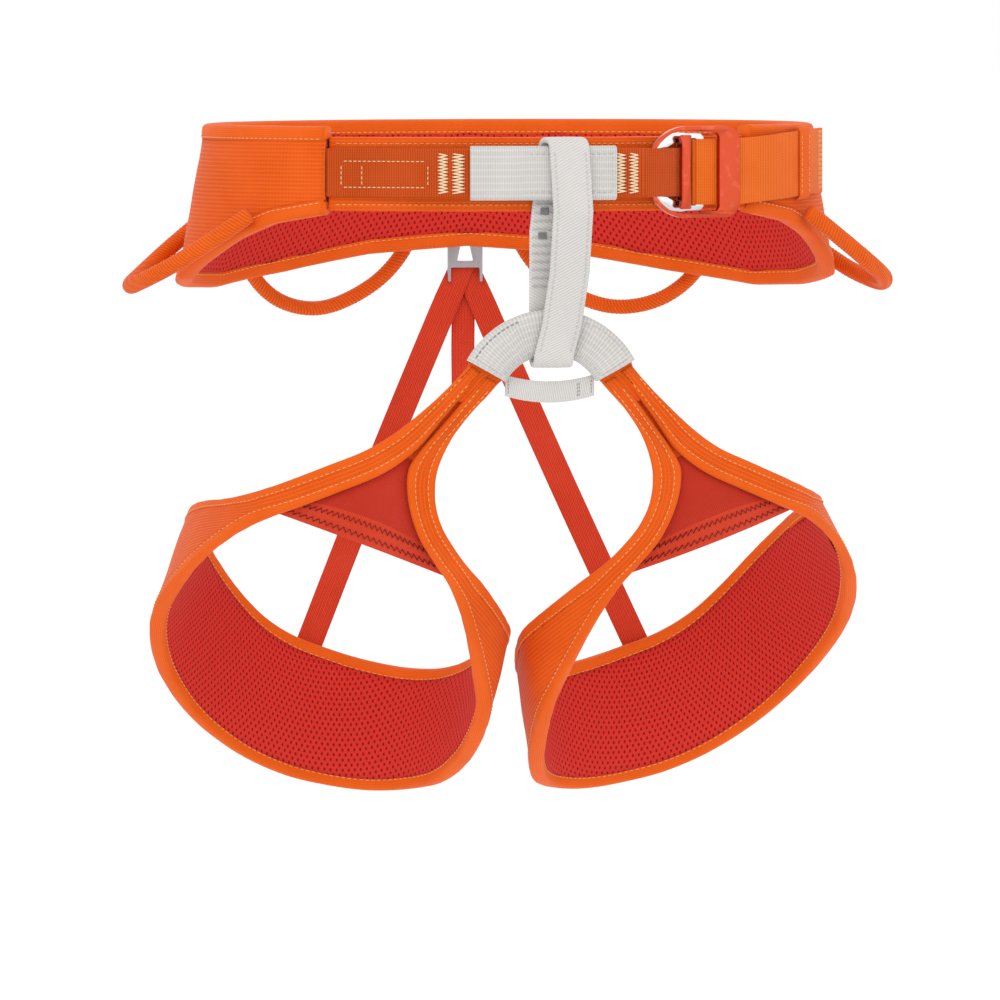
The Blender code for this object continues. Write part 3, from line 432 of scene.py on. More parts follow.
# Each look's material, and the name of its colour slot
LOOKS = {
    "fabric": (ripstop(), "fabric_orange"),
    "tape": (tape(), "binding_orange"),
    "webbing": (webbing("webbing_dark", (0.62, 0.080, 0.002), (0.30, 0.028, 0.001)), "webbing_orange"),
    "strap": (webbing("webbing_bright", (0.88, 0.175, 0.010), (0.56, 0.072, 0.003)), "webbing_orange"),
    "mesh": (spacer_mesh(), "mesh_red"),
    "stretch": (stretch_cloth(), "stretch_red"),
    "elastic": (elastic(), "elastic_red"),
    "sheath": (loop_sheath(), "webbing_orange"),
    "belay": (white_webbing("belay_white", 0.55, 0.0016), "webbing_white"),
    "arch": (white_ribbed("arch_white"), "webbing_white"),
    "sleeve": (white_ribbed("sleeve_white"), "webbing_white"),
    "bridge": (white_webbing("bridge_white", 0.2, 0.0012), "webbing_white"),
    "thread": (thread_of("thread_light", (0.95, 0.36, 0.12)), "binding_orange"),
    "cream": (thread_of("thread_cream", (0.93, 0.60, 0.30)), "binding_orange"),
    "ivory": (thread_of("thread_ivory", (0.96, 0.72, 0.46)), "binding_orange"),
    "grey": (thread_of("thread_grey", (0.30, 0.30, 0.31)), "webbing_white"),
    "pale": (thread_of("thread_pale", (0.62, 0.62, 0.60)), "webbing_white"),
    "dark": (thread_of("thread_dark_red", (0.20, 0.012, 0.010)), "elastic_red"),
    # Each metal's second colour is its painted reflection.
    "rose": (metal("anodised_rose", (0.56, 0.075, 0.032), (0.74, 0.20, 0.12), (0.14, 0.24)), "anodised_rose"),
    "steel": (metal("polished_steel", (0.66, 0.66, 0.68), (0.42, 0.42, 0.44), (0.08, 0.18)),
              "polished_steel"),
    "cast": (metal("cast_grey", (0.42, 0.44, 0.47), (0.60, 0.61, 0.63), (0.30, 0.45)), "hook_grey"),
}


# ---------------------------------------------------------------- shapes

def piece(name, mesh, look, body, *nodes):
    """A finished mesh on its body, in place of CAD nodes; a mesh given two bodies as a tuple is baked in
    place on no body.
    """
    material, slot = LOOKS[look]
    mesh.materials.append(material)
    mesh.shade_smooth()
    obj = bpy.data.objects.new(name, mesh)
    bpy.context.scene.collection.objects.link(obj)
    if isinstance(body, tuple):
        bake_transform(obj)
    else:
        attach(obj, body)
    if nodes:
        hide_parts(*nodes)
    return obj


def lengths(points, closed=False):
    total, out = 0.0, [0.0]
    for a, b in zip(points, points[1:] + (points[:1] if closed else [])):
        total += (b - a).length
        out.append(total)
    return out


def grid_mesh(name, rows, wrap_rows=False, wrap_columns=False, mirrored=False, caps=False):
    """A surface through rows of points, its map in metres. Its front is on the side of row x column."""
    shape = bmesh.new()
    sign = -1 if mirrored else 1
    grid = [[shape.verts.new((sign * p[0], p[1], p[2])) for p in row] for row in rows]
    along = lengths([row[len(row) // 2] for row in rows], wrap_rows)
    across = [lengths(row, wrap_columns) for row in rows]
    across += [across[0]]
    layer = shape.loops.layers.uv.new(CLOTH_MAP)
    count, width = len(rows), len(rows[0])
    for i in range(count if wrap_rows else count - 1):
        for j in range(width if wrap_columns else width - 1):
            after, beside = (i + 1) % count, (j + 1) % width
            corners = [(grid[i][j], i, j), (grid[i][beside], i, j + 1),
                       (grid[after][beside], i + 1, j + 1), (grid[after][j], i + 1, j)]
            if not mirrored:
                corners.reverse()
            face = shape.faces.new([c[0] for c in corners])
            for loop, (_, u, v) in zip(face.loops, corners):
                loop[layer].uv = (along[u], across[u][v])
    if caps:
        for row in (grid[0], grid[-1][::-1]):
            shape.faces.new(row if mirrored else row[::-1]).normal_flip()
        bmesh.ops.recalc_face_normals(shape, faces=shape.faces)
    mesh = bpy.data.meshes.new(name)
    shape.to_mesh(mesh)
    shape.free()
    return mesh


def sheet(name, rows, thickness, look, body, *nodes, **wrapping):
    """Cloth or webbing: the surface made solid behind its front, its edges softened."""
    obj = piece(name, grid_mesh(name, rows, **wrapping), look, body, *nodes)
    solid = obj.modifiers.new("Thickness", "SOLIDIFY")
    solid.thickness, solid.offset = thickness, -1
    edge = obj.modifiers.new("Edge", "BEVEL")
    edge.width, edge.segments = 0.3 * thickness, 2
    edge.limit_method, edge.angle_limit = "ANGLE", radians(50)
    return obj


def loft(name, rings, look, body, *nodes, **options):
    return piece(name, grid_mesh(name, rings, wrap_columns=True, **options), look, body, *nodes)


def threads(name, lines, radius, look, body, mirrored=False):
    """Stitches: each line of points is one thread, its ends sunk and narrowed."""
    shape = bmesh.new()
    layer = shape.loops.layers.uv.new(CLOTH_MAP)
    sign = -1 if mirrored else 1
    for line in lines:
        line = [Vector((sign * p[0], p[1], p[2])) for p in line]
        rings = []
        for k, point in enumerate(line):
            way = (line[min(k + 1, len(line) - 1)] - line[max(k - 1, 0)]).normalized()
            side = way.cross(Vector((0.3, 0.5, 0.81))).normalized()
            up = way.cross(side)
            wide = radius * (0.55 if k in (0, len(line) - 1) else 1)
            rings.append([shape.verts.new(point + wide * (cos(a) * side + sin(a) * up))
                          for a in (0, 2 * pi / 5, 4 * pi / 5, 6 * pi / 5, 8 * pi / 5)])
        for k in range(len(rings) - 1):
            for j in range(5):
                near, far, beside = rings[k], rings[k + 1], (j + 1) % 5
                face = shape.faces.new((near[j], near[beside], far[beside], far[j]))
                for loop, (u, v) in zip(face.loops, ((k, j), (k, j + 1), (k + 1, j + 1), (k + 1, j))):
                    loop[layer].uv = (u * 0.001, v * radius)
        shape.faces.new(rings[0][::-1])
        shape.faces.new(rings[-1])
    bmesh.ops.recalc_face_normals(shape, faces=shape.faces)
    mesh = bpy.data.meshes.new(name)
    shape.to_mesh(mesh)
    shape.free()
    return piece(name, mesh, look, body)


def dashes(surface_at, start, end, pitch=0.0032, dash=0.0023, lift=0.00022, samples=160):
    """Running stitches along a line on a surface. surface_at(t, lift) gives a point."""
    ends = [start + (end - start) * k / samples for k in range(samples + 1)]
    path = [surface_at(t, 0) for t in ends]
    run = lengths(path)
    lines, at, k = [], pitch / 2, 0
    while at + dash < run[-1]:
        line = []
        for share, up in ((0, -0.0001), (0.3, lift), (0.7, lift), (1, -0.0001)):
            along = at + dash * share
            while run[k + 1] < along:
                k += 1
            t = ends[k] + (ends[k + 1] - ends[k]) * (along - run[k]) / max(run[k + 1] - run[k], 1e-9)
            line.append(surface_at(t, up))
        k = max(0, k - 2)
        lines.append(line)
        at += pitch
    return lines


def zigzag(surface_at, start, end, low, high, turns, lift=0.0002):
    """One thread that goes from side to side. surface_at(t, s, lift) gives a point."""
    line = []
    for k in range(2 * turns + 1):
        t = start + (end - start) * k / (2 * turns)
        line.append(surface_at(t, high if k % 2 else low, lift))
    return [line]


def bar_tack(surface_at, middle, reach, half, pitch=0.00085):
    """Close stitches across a webbing, each a little askew."""
    lines, count = [], int(2 * reach / pitch)
    for k in range(count):
        t = middle - reach + (k + 0.5) * pitch
        wide = half * (1 + 0.10 * sin(7.3 * k))
        ends = ((-wide, -0.0002), (-0.7 * wide, 0.0004), (0.7 * wide, 0.0004), (wide, -0.0002))
        lines.append([surface_at(t + 0.0005 * s / half * (-1) ** k, s, up) for s, up in ends])
    return lines


def tube(name, points, radius, look, body, *nodes, sides=20, ripple=0.0, pitch=0.002, mirrored=False):
    """A round sheath along a path, with a spiral rib, its ends closed with flat caps."""
    run = lengths(points)
    rings = []
    for k, point in enumerate(points):
        way = (points[min(k + 1, len(points) - 1)] - points[max(k - 1, 0)]).normalized()
        side = way.cross(Vector((0, 0, 1))).normalized()
        up = side.cross(way)
        ring = []
        for j in range(sides):
            a = 2 * pi * j / sides
            wide = radius * (1 + ripple * cos(2 * pi * run[k] / pitch + a))
            ring.append(point + wide * (cos(a) * side + sin(a) * up))
        rings.append(ring)
    return loft(name, rings, look, body, *nodes, caps=True, mirrored=mirrored)


def plate(name, outlines, thickness, bevel, place, look, body, *nodes):
    """A flat outline with holes and well rounded edges."""
    curve = bpy.data.curves.new(name, "CURVE")
    curve.dimensions, curve.fill_mode = "2D", "BOTH"
    curve.extrude = thickness / 2
    for outline in outlines:
        spline = curve.splines.new("POLY")
        spline.points.add(len(outline) - 1)
        spline.use_cyclic_u = True
        for knot, (x, y) in zip(spline.points, outline):
            knot.co = (x, y, 0, 1)
    flat = bpy.data.objects.new(name + "_flat", curve)
    bpy.context.scene.collection.objects.link(flat)
    weld = flat.modifiers.new("Weld", "WELD")
    weld.merge_threshold = 0.00001
    edge = flat.modifiers.new("Bevel", "BEVEL")
    edge.width, edge.segments = bevel, 4
    edge.limit_method, edge.angle_limit = "ANGLE", radians(60)
    bpy.context.view_layer.update()
    made = bpy.data.meshes.new_from_object(flat.evaluated_get(bpy.context.evaluated_depsgraph_get()))
    made.name = name
    bpy.data.objects.remove(flat)
    made.transform(place)
    layer = made.uv_layers.get(CLOTH_MAP) or made.uv_layers.new(name=CLOTH_MAP)
    for loop in made.loops:
        point = made.vertices[loop.vertex_index].co
        layer.data[loop.index].uv = (point.x, point.z)
    made.materials.clear()
    return piece(name, made, look, body, *nodes)


def curve_point(a, b, c, d, t):
    """Between b and c on a Catmull-Rom curve."""
    return 0.5 * (2 * b + (c - a) * t + (2 * a - 5 * b + 4 * c - d) * t ** 2
                  + (3 * b - a - 3 * c + d) * t ** 3)


def smooth_path(points, steps):
    """A Catmull-Rom curve through the points, with a number of steps between each two."""
    points = [Vector(p) for p in points]
    ends = [2 * points[0] - points[1]] + points + [2 * points[-1] - points[-2]]
    path = []
    for i in range(len(points) - 1):
        path += [curve_point(*ends[i:i + 4], k / steps) for k in range(steps)]
    return path + [points[-1]]


def arc(centre, radius, start, end, steps):
    """Points on a flat arc, angles in degrees."""
    turns = [radians(start + (end - start) * k / steps) for k in range(steps + 1)]
    return [(centre[0] + radius * cos(a), centre[1] + radius * sin(a)) for a in turns]


def table(values, at):
    """Smooth interpolation in a table of numbers."""
    keys = sorted(values)
    at = min(max(at, keys[0]), keys[-1])
    for low, high in zip(keys, keys[1:]):
        if at <= high:
            t = (at - low) / (high - low)
            return values[low] + (values[high] - values[low]) * t
    return values[keys[-1]]


def ramp(at, start, end):
    t = min(max((at - start) / (end - start), 0.0), 1.0)
    return t * t * (3 - 2 * t)


def span(start, end, steps):
    return [start + (end - start) * k / steps for k in range(steps + 1)]


# ---------------------------------------------------------------- the waist

def waist_plan(angle, out):
    """0 is the centre of the back, +90 the +X side and 180 the centre of the front."""
    a = radians(angle)
    point = Vector((WAIST_HALF_WIDTH * sin(a), WAIST_HALF_DEPTH * cos(a)))
    normal = Vector((WAIST_HALF_DEPTH * sin(a), WAIST_HALF_WIDTH * cos(a))).normalized()
    return point + out * normal


def waist_angle(x):
    """The angle at the front at which the lining is this far from the centre plane."""
    return 180 - degrees(asin(x / WAIST_HALF_WIDTH))


def flare(angle, z):
    """How far the belt leans out as it goes down over the hips."""
    side = abs((angle + 180) % 360 - 180)
    share = 0.35 + 0.65 * sin(radians(side)) ** 2 if side <= 90 else max(0, (150 - side) / 60)
    return BELT_FLARE * share * (max(0.0, BELT_TOP - z) / 0.080) ** 1.3


def waist_point(angle, z, out):
    plan = waist_plan(angle, out + flare(angle, z))
    return Vector((plan.x, plan.y, z))


def belt_bottom(angle):
    return table(BELT_BOTTOM, abs(angle))


def buckle_frame():
    """The buckle's own frame: X along the webbing, Y up, Z out of the belt."""
    origin = waist_plan(BUCKLE_ANGLE, 0)
    normal = (waist_plan(BUCKLE_ANGLE, 1) - origin).normalized()
    return origin, Vector((-normal.y, normal.x)), normal


def by_buckle(s, n):
    origin, along, normal = buckle_frame()
    return origin + s * along + n * normal


def half_turn(centre_s, centre_n, radius, start, end, steps=6):
    return [by_buckle(*p) for p in arc((centre_s, centre_n), radius, start, end, steps)]


REAR_BACK = TONGUE_FACE + 0.0022
REAR_FACE = REAR_BACK + REAR_PLATE
RUN_BEHIND = REAR_BACK - 0.0003 - WEBBING / 2
RUN_OVER = REAR_FACE + 0.0004 + WEBBING / 2
FRONT_BACK = RUN_OVER + WEBBING / 2 + 0.0004
FRONT_FACE = FRONT_BACK + FRAME_PLATE
TURN_MIDDLE = (RUN_BEHIND + RUN_OVER) / 2
TURN_RADIUS = (RUN_OVER - RUN_BEHIND) / 2
CENTRE_BAR = (-0.0082, -0.0046)
RIGHT_BAR = (0.0032, 0.0080)
FRAME_CENTRE = -0.0055
FRAME_LEFT = FRAME_CENTRE - FRAME_HALF_HEIGHT
RUN_UP, RUN_UP_OUT = 0.007, 0.0118
FRAME_RIGHT = 0.0275
WINDOW_RIGHT = 0.0150


TAIL_START = WINDOW_RIGHT + 0.0007
TAIL_END_ANGLE = 107.0
TAIL_RISE = 0.10


def tail_circle():
    """Centre, radius and end of the arc that the strap's free end lies along and slides along."""
    _, _, normal = buckle_frame()
    start = by_buckle(TAIL_START, RUN_OVER)
    clear = BINDING_FACE + flare(TAIL_END_ANGLE, -0.012) + STRAP / 2 + 0.0018
    end = waist_plan(TAIL_END_ANGLE, clear)
    chord = end - start
    radius = chord.length_squared / (-2 * chord.dot(normal))
    centre = start - radius * normal
    sweep = 2 * asin(chord.length / (2 * radius))
    return centre, radius, sweep


def tail_point(turn, out, across):
    """A point on the free end: turn along its arc, out from its middle surface, across its width."""
    centre, radius, _ = tail_circle()
    start = by_buckle(TAIL_START, RUN_OVER) - centre
    first = atan2(start.y, start.x)
    middle = Vector((centre.x, centre.y, WEBBING_HEIGHT))
    spoke = Vector((cos(first + turn), sin(first + turn), 0))
    rise = TAIL_RISE * radius * ramp(turn, 0, tail_circle()[2]) * tail_circle()[2] / 2
    return middle + spoke * (radius + out) + Vector((0, 0, across + rise))


def flattened_ring(half_height, half_depth):
    """A flat tube's section, as (across, out) points."""
    straight = half_height - half_depth
    ring = [(straight + half_depth * cos(radians(a)), half_depth * sin(radians(a)))
            for a in (90, 45, 0, -45, -90)]
    return ring + [(-x, -y) for x, y in ring]


def belay_lean(up, front):
    """How far the loop leans to the right: up from its foot, front from its rear strand, as shares."""
    rear_lean, front_lean = table(BELAY_REAR_LEAN, up), table(BELAY_FRONT_LEAN, up)
    return rear_lean + (front_lean - rear_lean) * front


def arch_point(turn, across, out):
    """On the lower tie-in: turn in degrees from its middle, across its width, out to the front."""
    a = radians(turn)
    hub = ARCH_MIDDLE - ARCH_RADIUS
    reach = ARCH_RADIUS + across
    return Vector((reach * sin(a), LOOP_MIDDLE - out, hub + reach * cos(a)))


def nominal_point(point):
    """A pattern point where the lower tie-in is."""
    x, y, z = point
    return Vector((x, y, TIE_IN.z * 1000 + z + 100)) / 1000


def rim_points(rim):
    """The rim with both ends drawn to the lower tie-in."""
    points = [nominal_point(row[rim]) for row in LEG_RIMS]
    end = radians(ARCH_END)
    mouth = TIE_IN + MOUTH_GAP * Vector((cos(end), 0, -sin(end))) - nominal_point((38, -115, -100))
    last = len(points) - 1
    for k, pull in enumerate(ARM_PULL):
        points[k] += pull * mouth
        points[last - k] += pull * mouth
    return points


RIMS = rim_points(0), rim_points(1)


def on_rim(rim, at):
    points = RIMS[rim]
    low = min(int(at), len(points) - 2)
    a, b = points[max(low - 1, 0)], points[low]
    c, d = points[low + 1], points[min(low + 2, len(points) - 1)]
    return curve_point(a, b, c, d, at - low)


def leg_width(at):
    return (on_rim(0, at) - on_rim(1, at)).length


def leg_normal(at):
    """Away from the thigh."""
    last = len(LEG_RIMS) - 1
    before, after = max(at - 0.5, 0), min(at + 0.5, last)
    along = on_rim(0, after) + on_rim(1, after) - on_rim(0, before) - on_rim(1, before)
    down = on_rim(1, at) - on_rim(0, at)
    return down.cross(along).normalized()


def leg_point(at, share, depth):
    """at counts along the loop, share goes from the upper to the lower rim, depth goes inward."""
    return on_rim(0, at).lerp(on_rim(1, at), share) - depth * leg_normal(at)


def leg_binding_width(at):
    return min(LEG_BINDING, 0.36 * leg_width(at))


def leg_thickness(at):
    pad = ramp(at, PAD_START, PAD_START + 2.5) - ramp(at, PAD_END - 2.5, PAD_END)
    padded = OUTER_FABRIC + LOAD_WEBBING + LEG_FOAM + LINING + 4 * GAP
    return ARM_THICKNESS + pad * (padded - ARM_THICKNESS)


HOOK_TOP = -0.034
HOOK_BAR = -0.0505
HOOK_FOOT = -0.058
RISER_AT = 16.55


def hook_out():
    return BINDING_FACE + flare(0, belt_bottom(0)) + 0.0005


# ---------------------------------------------------------------- the belt's pieces

BELT = "waist_belt"
PUFF = 0.0013
SEAM_IN = 0.0013


def ripple(angle, z, size=0.0004):
    """Soft unevenness that all the belt's layers share."""
    spot = Vector((angle * 0.05, z * 45, 0.3))
    return size * noise.noise(spot) + 0.4 * size * noise.noise(spot * 2.7)


def belt_at(angle, z, out):
    return waist_point(angle, z, out + ripple(angle, z))


def crowned(share):
    """1 through the middle of a padded section, 0 at its seams."""
    return 1 - abs(2 * share - 1) ** 2.5


def crowned_ring(top, bottom, back, face, crown_back, crown_face, steps=12):
    """(z, out) round a padded section, its sides pulled in at the seams."""
    ring = [(top + (bottom - top) * s, face + crown_face * crowned(s)) for s in span(0, 1, steps)]
    return ring + [(top + (bottom - top) * s, back - crown_back * crowned(s)) for s in span(1, 0, steps)]


def folded_tape(width, back, face, round_in=0.0022, steps=6):
    """(inward, out) round a tape folded over an edge: both faces and the round fold."""
    half, middle = (face - back) / 2, (face + back) / 2
    sink = 0.00035
    ring = [(width, face - sink), (width * 0.72, face), (width * 0.45, face + 0.0001)]
    for k in range(steps + 1):
        a = pi / 2 - pi * k / steps
        ring.append((round_in * (1 - cos(a)), middle + half * sin(a)))
    return ring + [(width * 0.45, back - 0.0001), (width * 0.72, back), (width, back + sink)]


def make_belt_pieces():
    margin = BINDING_WIDTH - 0.0012
    angles = span(-WING_ANGLE, WING_ANGLE, 150)
    shell, pad = [], []
    for angle in angles:
        top, bottom = BELT_TOP - margin, belt_bottom(angle) + margin
        shell.append([belt_at(angle, z, out) for z, out in
                      crowned_ring(top, bottom, WEBBING_BACK + 0.0002, BELT_THICKNESS - 0.0003, 0, 0.0006)])
        pad.append([belt_at(angle, z, out) for z, out in
                    crowned_ring(top, bottom, 0.0002, WEBBING_BACK - 0.0001, PUFF, 0)])
    loft("belt_shell", shell, "fabric", BELT, "belt_outer_fabric", "belt_load_webbing", caps=True)
    padded = loft("belt_padding", pad, "mesh", BELT, "belt_mesh_lining", "belt_foam_pad", caps=True)
    for word, edge, inward in (("top", lambda a: BELT_TOP, -1), ("bottom", belt_bottom, 1)):
        rings = []
        for angle in angles:
            pucker = 0.00012 * cos(angle * 3.1) + 0.00008 * cos(angle * 7.7)
            lift = pucker + ripple(angle, edge(angle), 0.0003)
            rings.append([waist_point(angle, edge(angle) + inward * d, out + lift)
                          for d, out in folded_tape(BINDING_WIDTH, -GAP, BINDING_FACE)])
        loft("belt_edge_" + word, rings, "tape", BELT, "belt_binding_" + word, caps=True)
        inner = BINDING_WIDTH - SEAM_IN
        lines = []
        for face, way in ((BINDING_FACE - 0.0001, 1), (-GAP + 0.0001, -1)):
            def seam(a, up, face=face, way=way):
                out = face + way * up + ripple(a, edge(a), 0.0003)
                return waist_point(a, edge(a) + inward * inner, out)
            lines += dashes(seam, -WING_ANGLE + 0.5, WING_ANGLE - 0.5, samples=300)
        threads("belt_seam_" + word, lines, 0.00033, "thread", BELT)


def make_tongue_pieces():
    edge = WING_ANGLE + 0.3
    for name, back, face, look, node in (("tongue_inside", 0, LINING, "mesh", "tongue_lining"),
                                         ("tongue_front", FOAM_BACK, TONGUE_FACE, "fabric", "front_tongue")):
        rows = [[belt_at(angle, z, face) for z in span(TONGUE_TOP, TONGUE_BOTTOM, 6)]
                for angle in span(edge, 360 - edge, 60)]
        sheet(name, rows, face - back, look, BELT, node)
    lines = []
    for z in (TONGUE_TOP - 0.0035, TONGUE_BOTTOM + 0.0035):
        lines += dashes(lambda a, up: belt_at(a, z, TONGUE_FACE + up), edge + 1, 359 - edge)
    threads("tongue_seam", lines, 0.0003, "thread", BELT)


# ---------------------------------------------------------------- webbing on the front

def upright_rows(path, height, width, thickness, across=4):
    rows = []
    for k, point in enumerate(path):
        before, after = path[max(k - 1, 0)], path[min(k + 1, len(path) - 1)]
        along = (after - before).normalized()
        face = point + Vector((-along.y, along.x)) * thickness / 2
        rows.append([Vector((*face, height + z)) for z in span(width / 2, -width / 2, across)])
    return rows


def flat_smooth(path, steps=4):
    return [Vector((p.x, p.y)) for p in smooth_path([Vector((p.x, p.y, 0)) for p in path], steps)]


def webbing_out(angle):
    start = -WING_ANGLE - 0.3
    lift = ramp(angle, start - 4, waist_angle(SLEEVE_LEFT) - 360)
    return (WEBBING_BACK + WEBBING / 2 + lift * (WEBBING_RUN - WEBBING_BACK - WEBBING / 2)
            + flare(angle, WEBBING_HEIGHT - WEBBING_WIDTH / 2))


def on_webbing(x, z, up):
    """A point on the front of the webbing across the harness, by its x."""
    angle = 180 - degrees(asin(x / (WAIST_HALF_WIDTH + 0.011))) - 360
    plan = waist_plan(angle, webbing_out(angle) + WEBBING / 2 + up)
    return Vector((plan.x, plan.y, z))


TACK_REACH = 0.0104


def make_front_webbing():
    start, end = -WING_ANGLE - 0.3, waist_angle(SLEEVE_RIGHT) - 360
    path = [waist_plan(angle, webbing_out(angle)) for angle in span(start, end, 22)]
    over_arc = FRONT_FACE + 0.0004 + WEBBING / 2
    over = ((FRAME_LEFT - RUN_UP, RUN_UP_OUT), (FRAME_LEFT - RUN_UP / 2, over_arc - 0.0002),
            (FRAME_LEFT, over_arc), (FRAME_LEFT + 0.0085, over_arc), (-0.0128, 0.0128),
            (-0.0104, RUN_OVER + 0.0006), (CENTRE_BAR[0], RUN_OVER))
    back = ((CENTRE_BAR[0], RUN_BEHIND), (-0.018, RUN_BEHIND - 0.0004),
            (-0.028, RUN_BEHIND - 0.0007), (-0.038, RUN_BEHIND - 0.0015))
    path += [by_buckle(*p) for p in over]
    path += half_turn(CENTRE_BAR[1], TURN_MIDDLE, TURN_RADIUS, 90, -90)
    path += [by_buckle(*p) for p in back]
    sheet("belt_webbing", upright_rows(flat_smooth(path), WEBBING_HEIGHT, WEBBING_WIDTH, WEBBING), WEBBING,
          "webbing", BELT, "tie_in_webbing")

    low, high, left, right = -0.0035, 0.0100, -0.1075, -0.0640
    size = {"pitch": 0.0026, "dash": 0.0019}
    lines = []
    for z in (low, high):
        lines += dashes(lambda x, up: on_webbing(x, z, up), left, right, **size)
    for x in (left, right, left + 0.010):
        lines += dashes(lambda z, up: on_webbing(x, z, up), low, high, **size)
    threads("webbing_box_stitch", lines, 0.0003, "cream", BELT)
    lines = []
    for place, x, half in ((on_webbing, -0.0563, 0.0025), (on_webbing, -0.0484, 0.0032),
                           (by_sleeve_end, 0.0370, 0.0028), (by_sleeve_end, 0.0442, 0.0026)):
        lines += bar_tack(lambda z, s, up: place(x + s, z, up), WEBBING_HEIGHT, TACK_REACH, half)
    threads("webbing_bar_tacks", lines, 0.0004, "ivory", BELT)


def by_sleeve_end(x, z, up):
    """On the webbing between the sleeve and the buckle."""
    a = waist_plan(waist_angle(SLEEVE_RIGHT), WEBBING_RUN + WEBBING / 2)
    b = by_buckle(FRAME_LEFT - RUN_UP, RUN_UP_OUT + WEBBING / 2)
    t = (x - a.x) / (b.x - a.x)
    place = a.lerp(b, t)
    normal = Vector((b.y - a.y, a.x - b.x)).normalized()
    place += normal * (up + 0.0004 * sin(pi * min(max(t, 0), 1)))
    return Vector((place.x, place.y, z))


def make_strap_pieces():
    lean = flare(WING_ANGLE, WEBBING_HEIGHT - STRAP_WIDTH / 2)
    behind = ((0.030, 0.0054), (0.020, RUN_BEHIND - 0.0002), (0.010, RUN_BEHIND))
    path = [waist_plan(WING_ANGLE + 0.3, WEBBING_BACK + STRAP / 2 + lean)] + [by_buckle(*p) for p in behind]
    path += half_turn(RIGHT_BAR[0], TURN_MIDDLE, TURN_RADIUS, 270, 90)
    path += [by_buckle(0.008, RUN_OVER), by_buckle(WINDOW_RIGHT + 0.0002, RUN_OVER)]
    sheet("strap_fixed_run", upright_rows(flat_smooth(path), WEBBING_HEIGHT, STRAP_WIDTH, STRAP), STRAP,
          "strap", BELT, "adjust_strap")
    sweep = tail_circle()[2]
    half = STRAP_WIDTH / 2
    rows = [[tail_point(turn, STRAP / 2, across) for across in span(-half, half, 4)]
            for turn in span(0, sweep, 70)]
    sheet("strap_free_end", rows, STRAP, "strap", "strap_tail", "strap_tail")
    lines = []
    for share in (0.93, 0.955, 0.98):
        lines += dashes(lambda s, up: tail_point(sweep * share, STRAP / 2 + up, s),
                        -half + 0.001, half - 0.001, pitch=0.0024, dash=0.0018, samples=20)
    threads("strap_end_stitch", lines, 0.0003, "cream", "strap_tail")

    room, band, wall, face = 0.0010, 0.010, 0.0010, STRAP / 2 + 0.0004
    radius, rows = tail_circle()[1], []
    first = 0.66 * sweep
    for turn in span(first, first + band / radius, 8):
        top = half + room
        corners = ((-0.0010, top + wall), (face - 0.0006, top + wall), (face, top + wall - 0.0003),
                   (face + wall, half), (face + wall, half * 0.5))
        below = [tail_point(turn, out, -across) for out, across in corners]
        above = [tail_point(turn, out, across) for out, across in corners]
        rows.append(below + [tail_point(turn, face + wall, 0)] + above[::-1])
    sheet("strap_keeper_band", rows, wall, "tape", BELT, "strap_keeper")
    lines = []
    for edge in (0.0012, band - 0.0012):
        turn = first + edge / radius
        lines += dashes(lambda s, up: tail_point(turn, face + wall + up, s), -half, half,
                        pitch=0.0028, dash=0.002)
    threads("strap_keeper_stitch", lines, 0.00028, "thread", BELT)


def full_ring(half_height, half_depth):
    """The flat tube's section, with points across its flat faces too."""
    ends = flattened_ring(half_height, half_depth)
    straight = half_height - half_depth
    face = [(x, half_depth) for x in span(-straight, straight, 8)[1:-1]]
    back = [(-x, -half_depth) for x, _ in face]
    return ends[:5] + back + ends[5:] + face


def make_upper_sleeve_pieces():
    section = full_ring(SLEEVE_HEIGHT / 2, SLEEVE_DEPTH / 2)

    def sleeve_point(angle, across, out):
        """The front rounds out on both sides of the belay loop."""
        swell = (out > 0) * 0.0013 * ramp(abs(angle - 176), 6, 12) * (1 - (2 * across / SLEEVE_HEIGHT) ** 2)
        return Vector((*waist_plan(angle, WEBBING_RUN + out + swell), WEBBING_HEIGHT + across))

    begin, end = waist_angle(SLEEVE_LEFT), waist_angle(SLEEVE_RIGHT)
    rows = [[sleeve_point(angle, *place) for place in section] for angle in span(begin, end, 60)]
    sheet("tie_in_sleeve_cover", rows, SLEEVE_WALL, "sleeve", BELT, "tie_in_sleeve", wrap_columns=True)
    face = WEBBING_RUN + SLEEVE_DEPTH / 2
    edge = SLEEVE_HEIGHT / 2 - 0.0042
    lines = []
    for rise, first, last, size in ((-0.0005, begin + 0.4, waist_angle(-0.012), 0.0024),
                                    (edge, begin + 0.3, end, 0.0030), (-edge, begin + 0.3, end, 0.0030)):
        lines += dashes(lambda a, up: Vector((*waist_plan(a, face + up), WEBBING_HEIGHT + rise)), first, last,
                        pitch=size, dash=size * 0.7)
    threads("tie_in_sleeve_stitch", lines, 0.00028, "pale", BELT)
    lines = []
    for x in (SLEEVE_LEFT + 0.0022, SLEEVE_LEFT + 0.0048, SLEEVE_RIGHT - 0.0024):
        at = waist_angle(x)
        lines += dashes(lambda z, up: Vector((*waist_plan(at, face + up), z)), WEBBING_HEIGHT - 0.0115,
                        WEBBING_HEIGHT + 0.0115, pitch=0.0022, dash=0.0016)
    threads("tie_in_sleeve_end_stitch", lines, 0.00028, "pale", BELT)


# ---------------------------------------------------------------- buckle

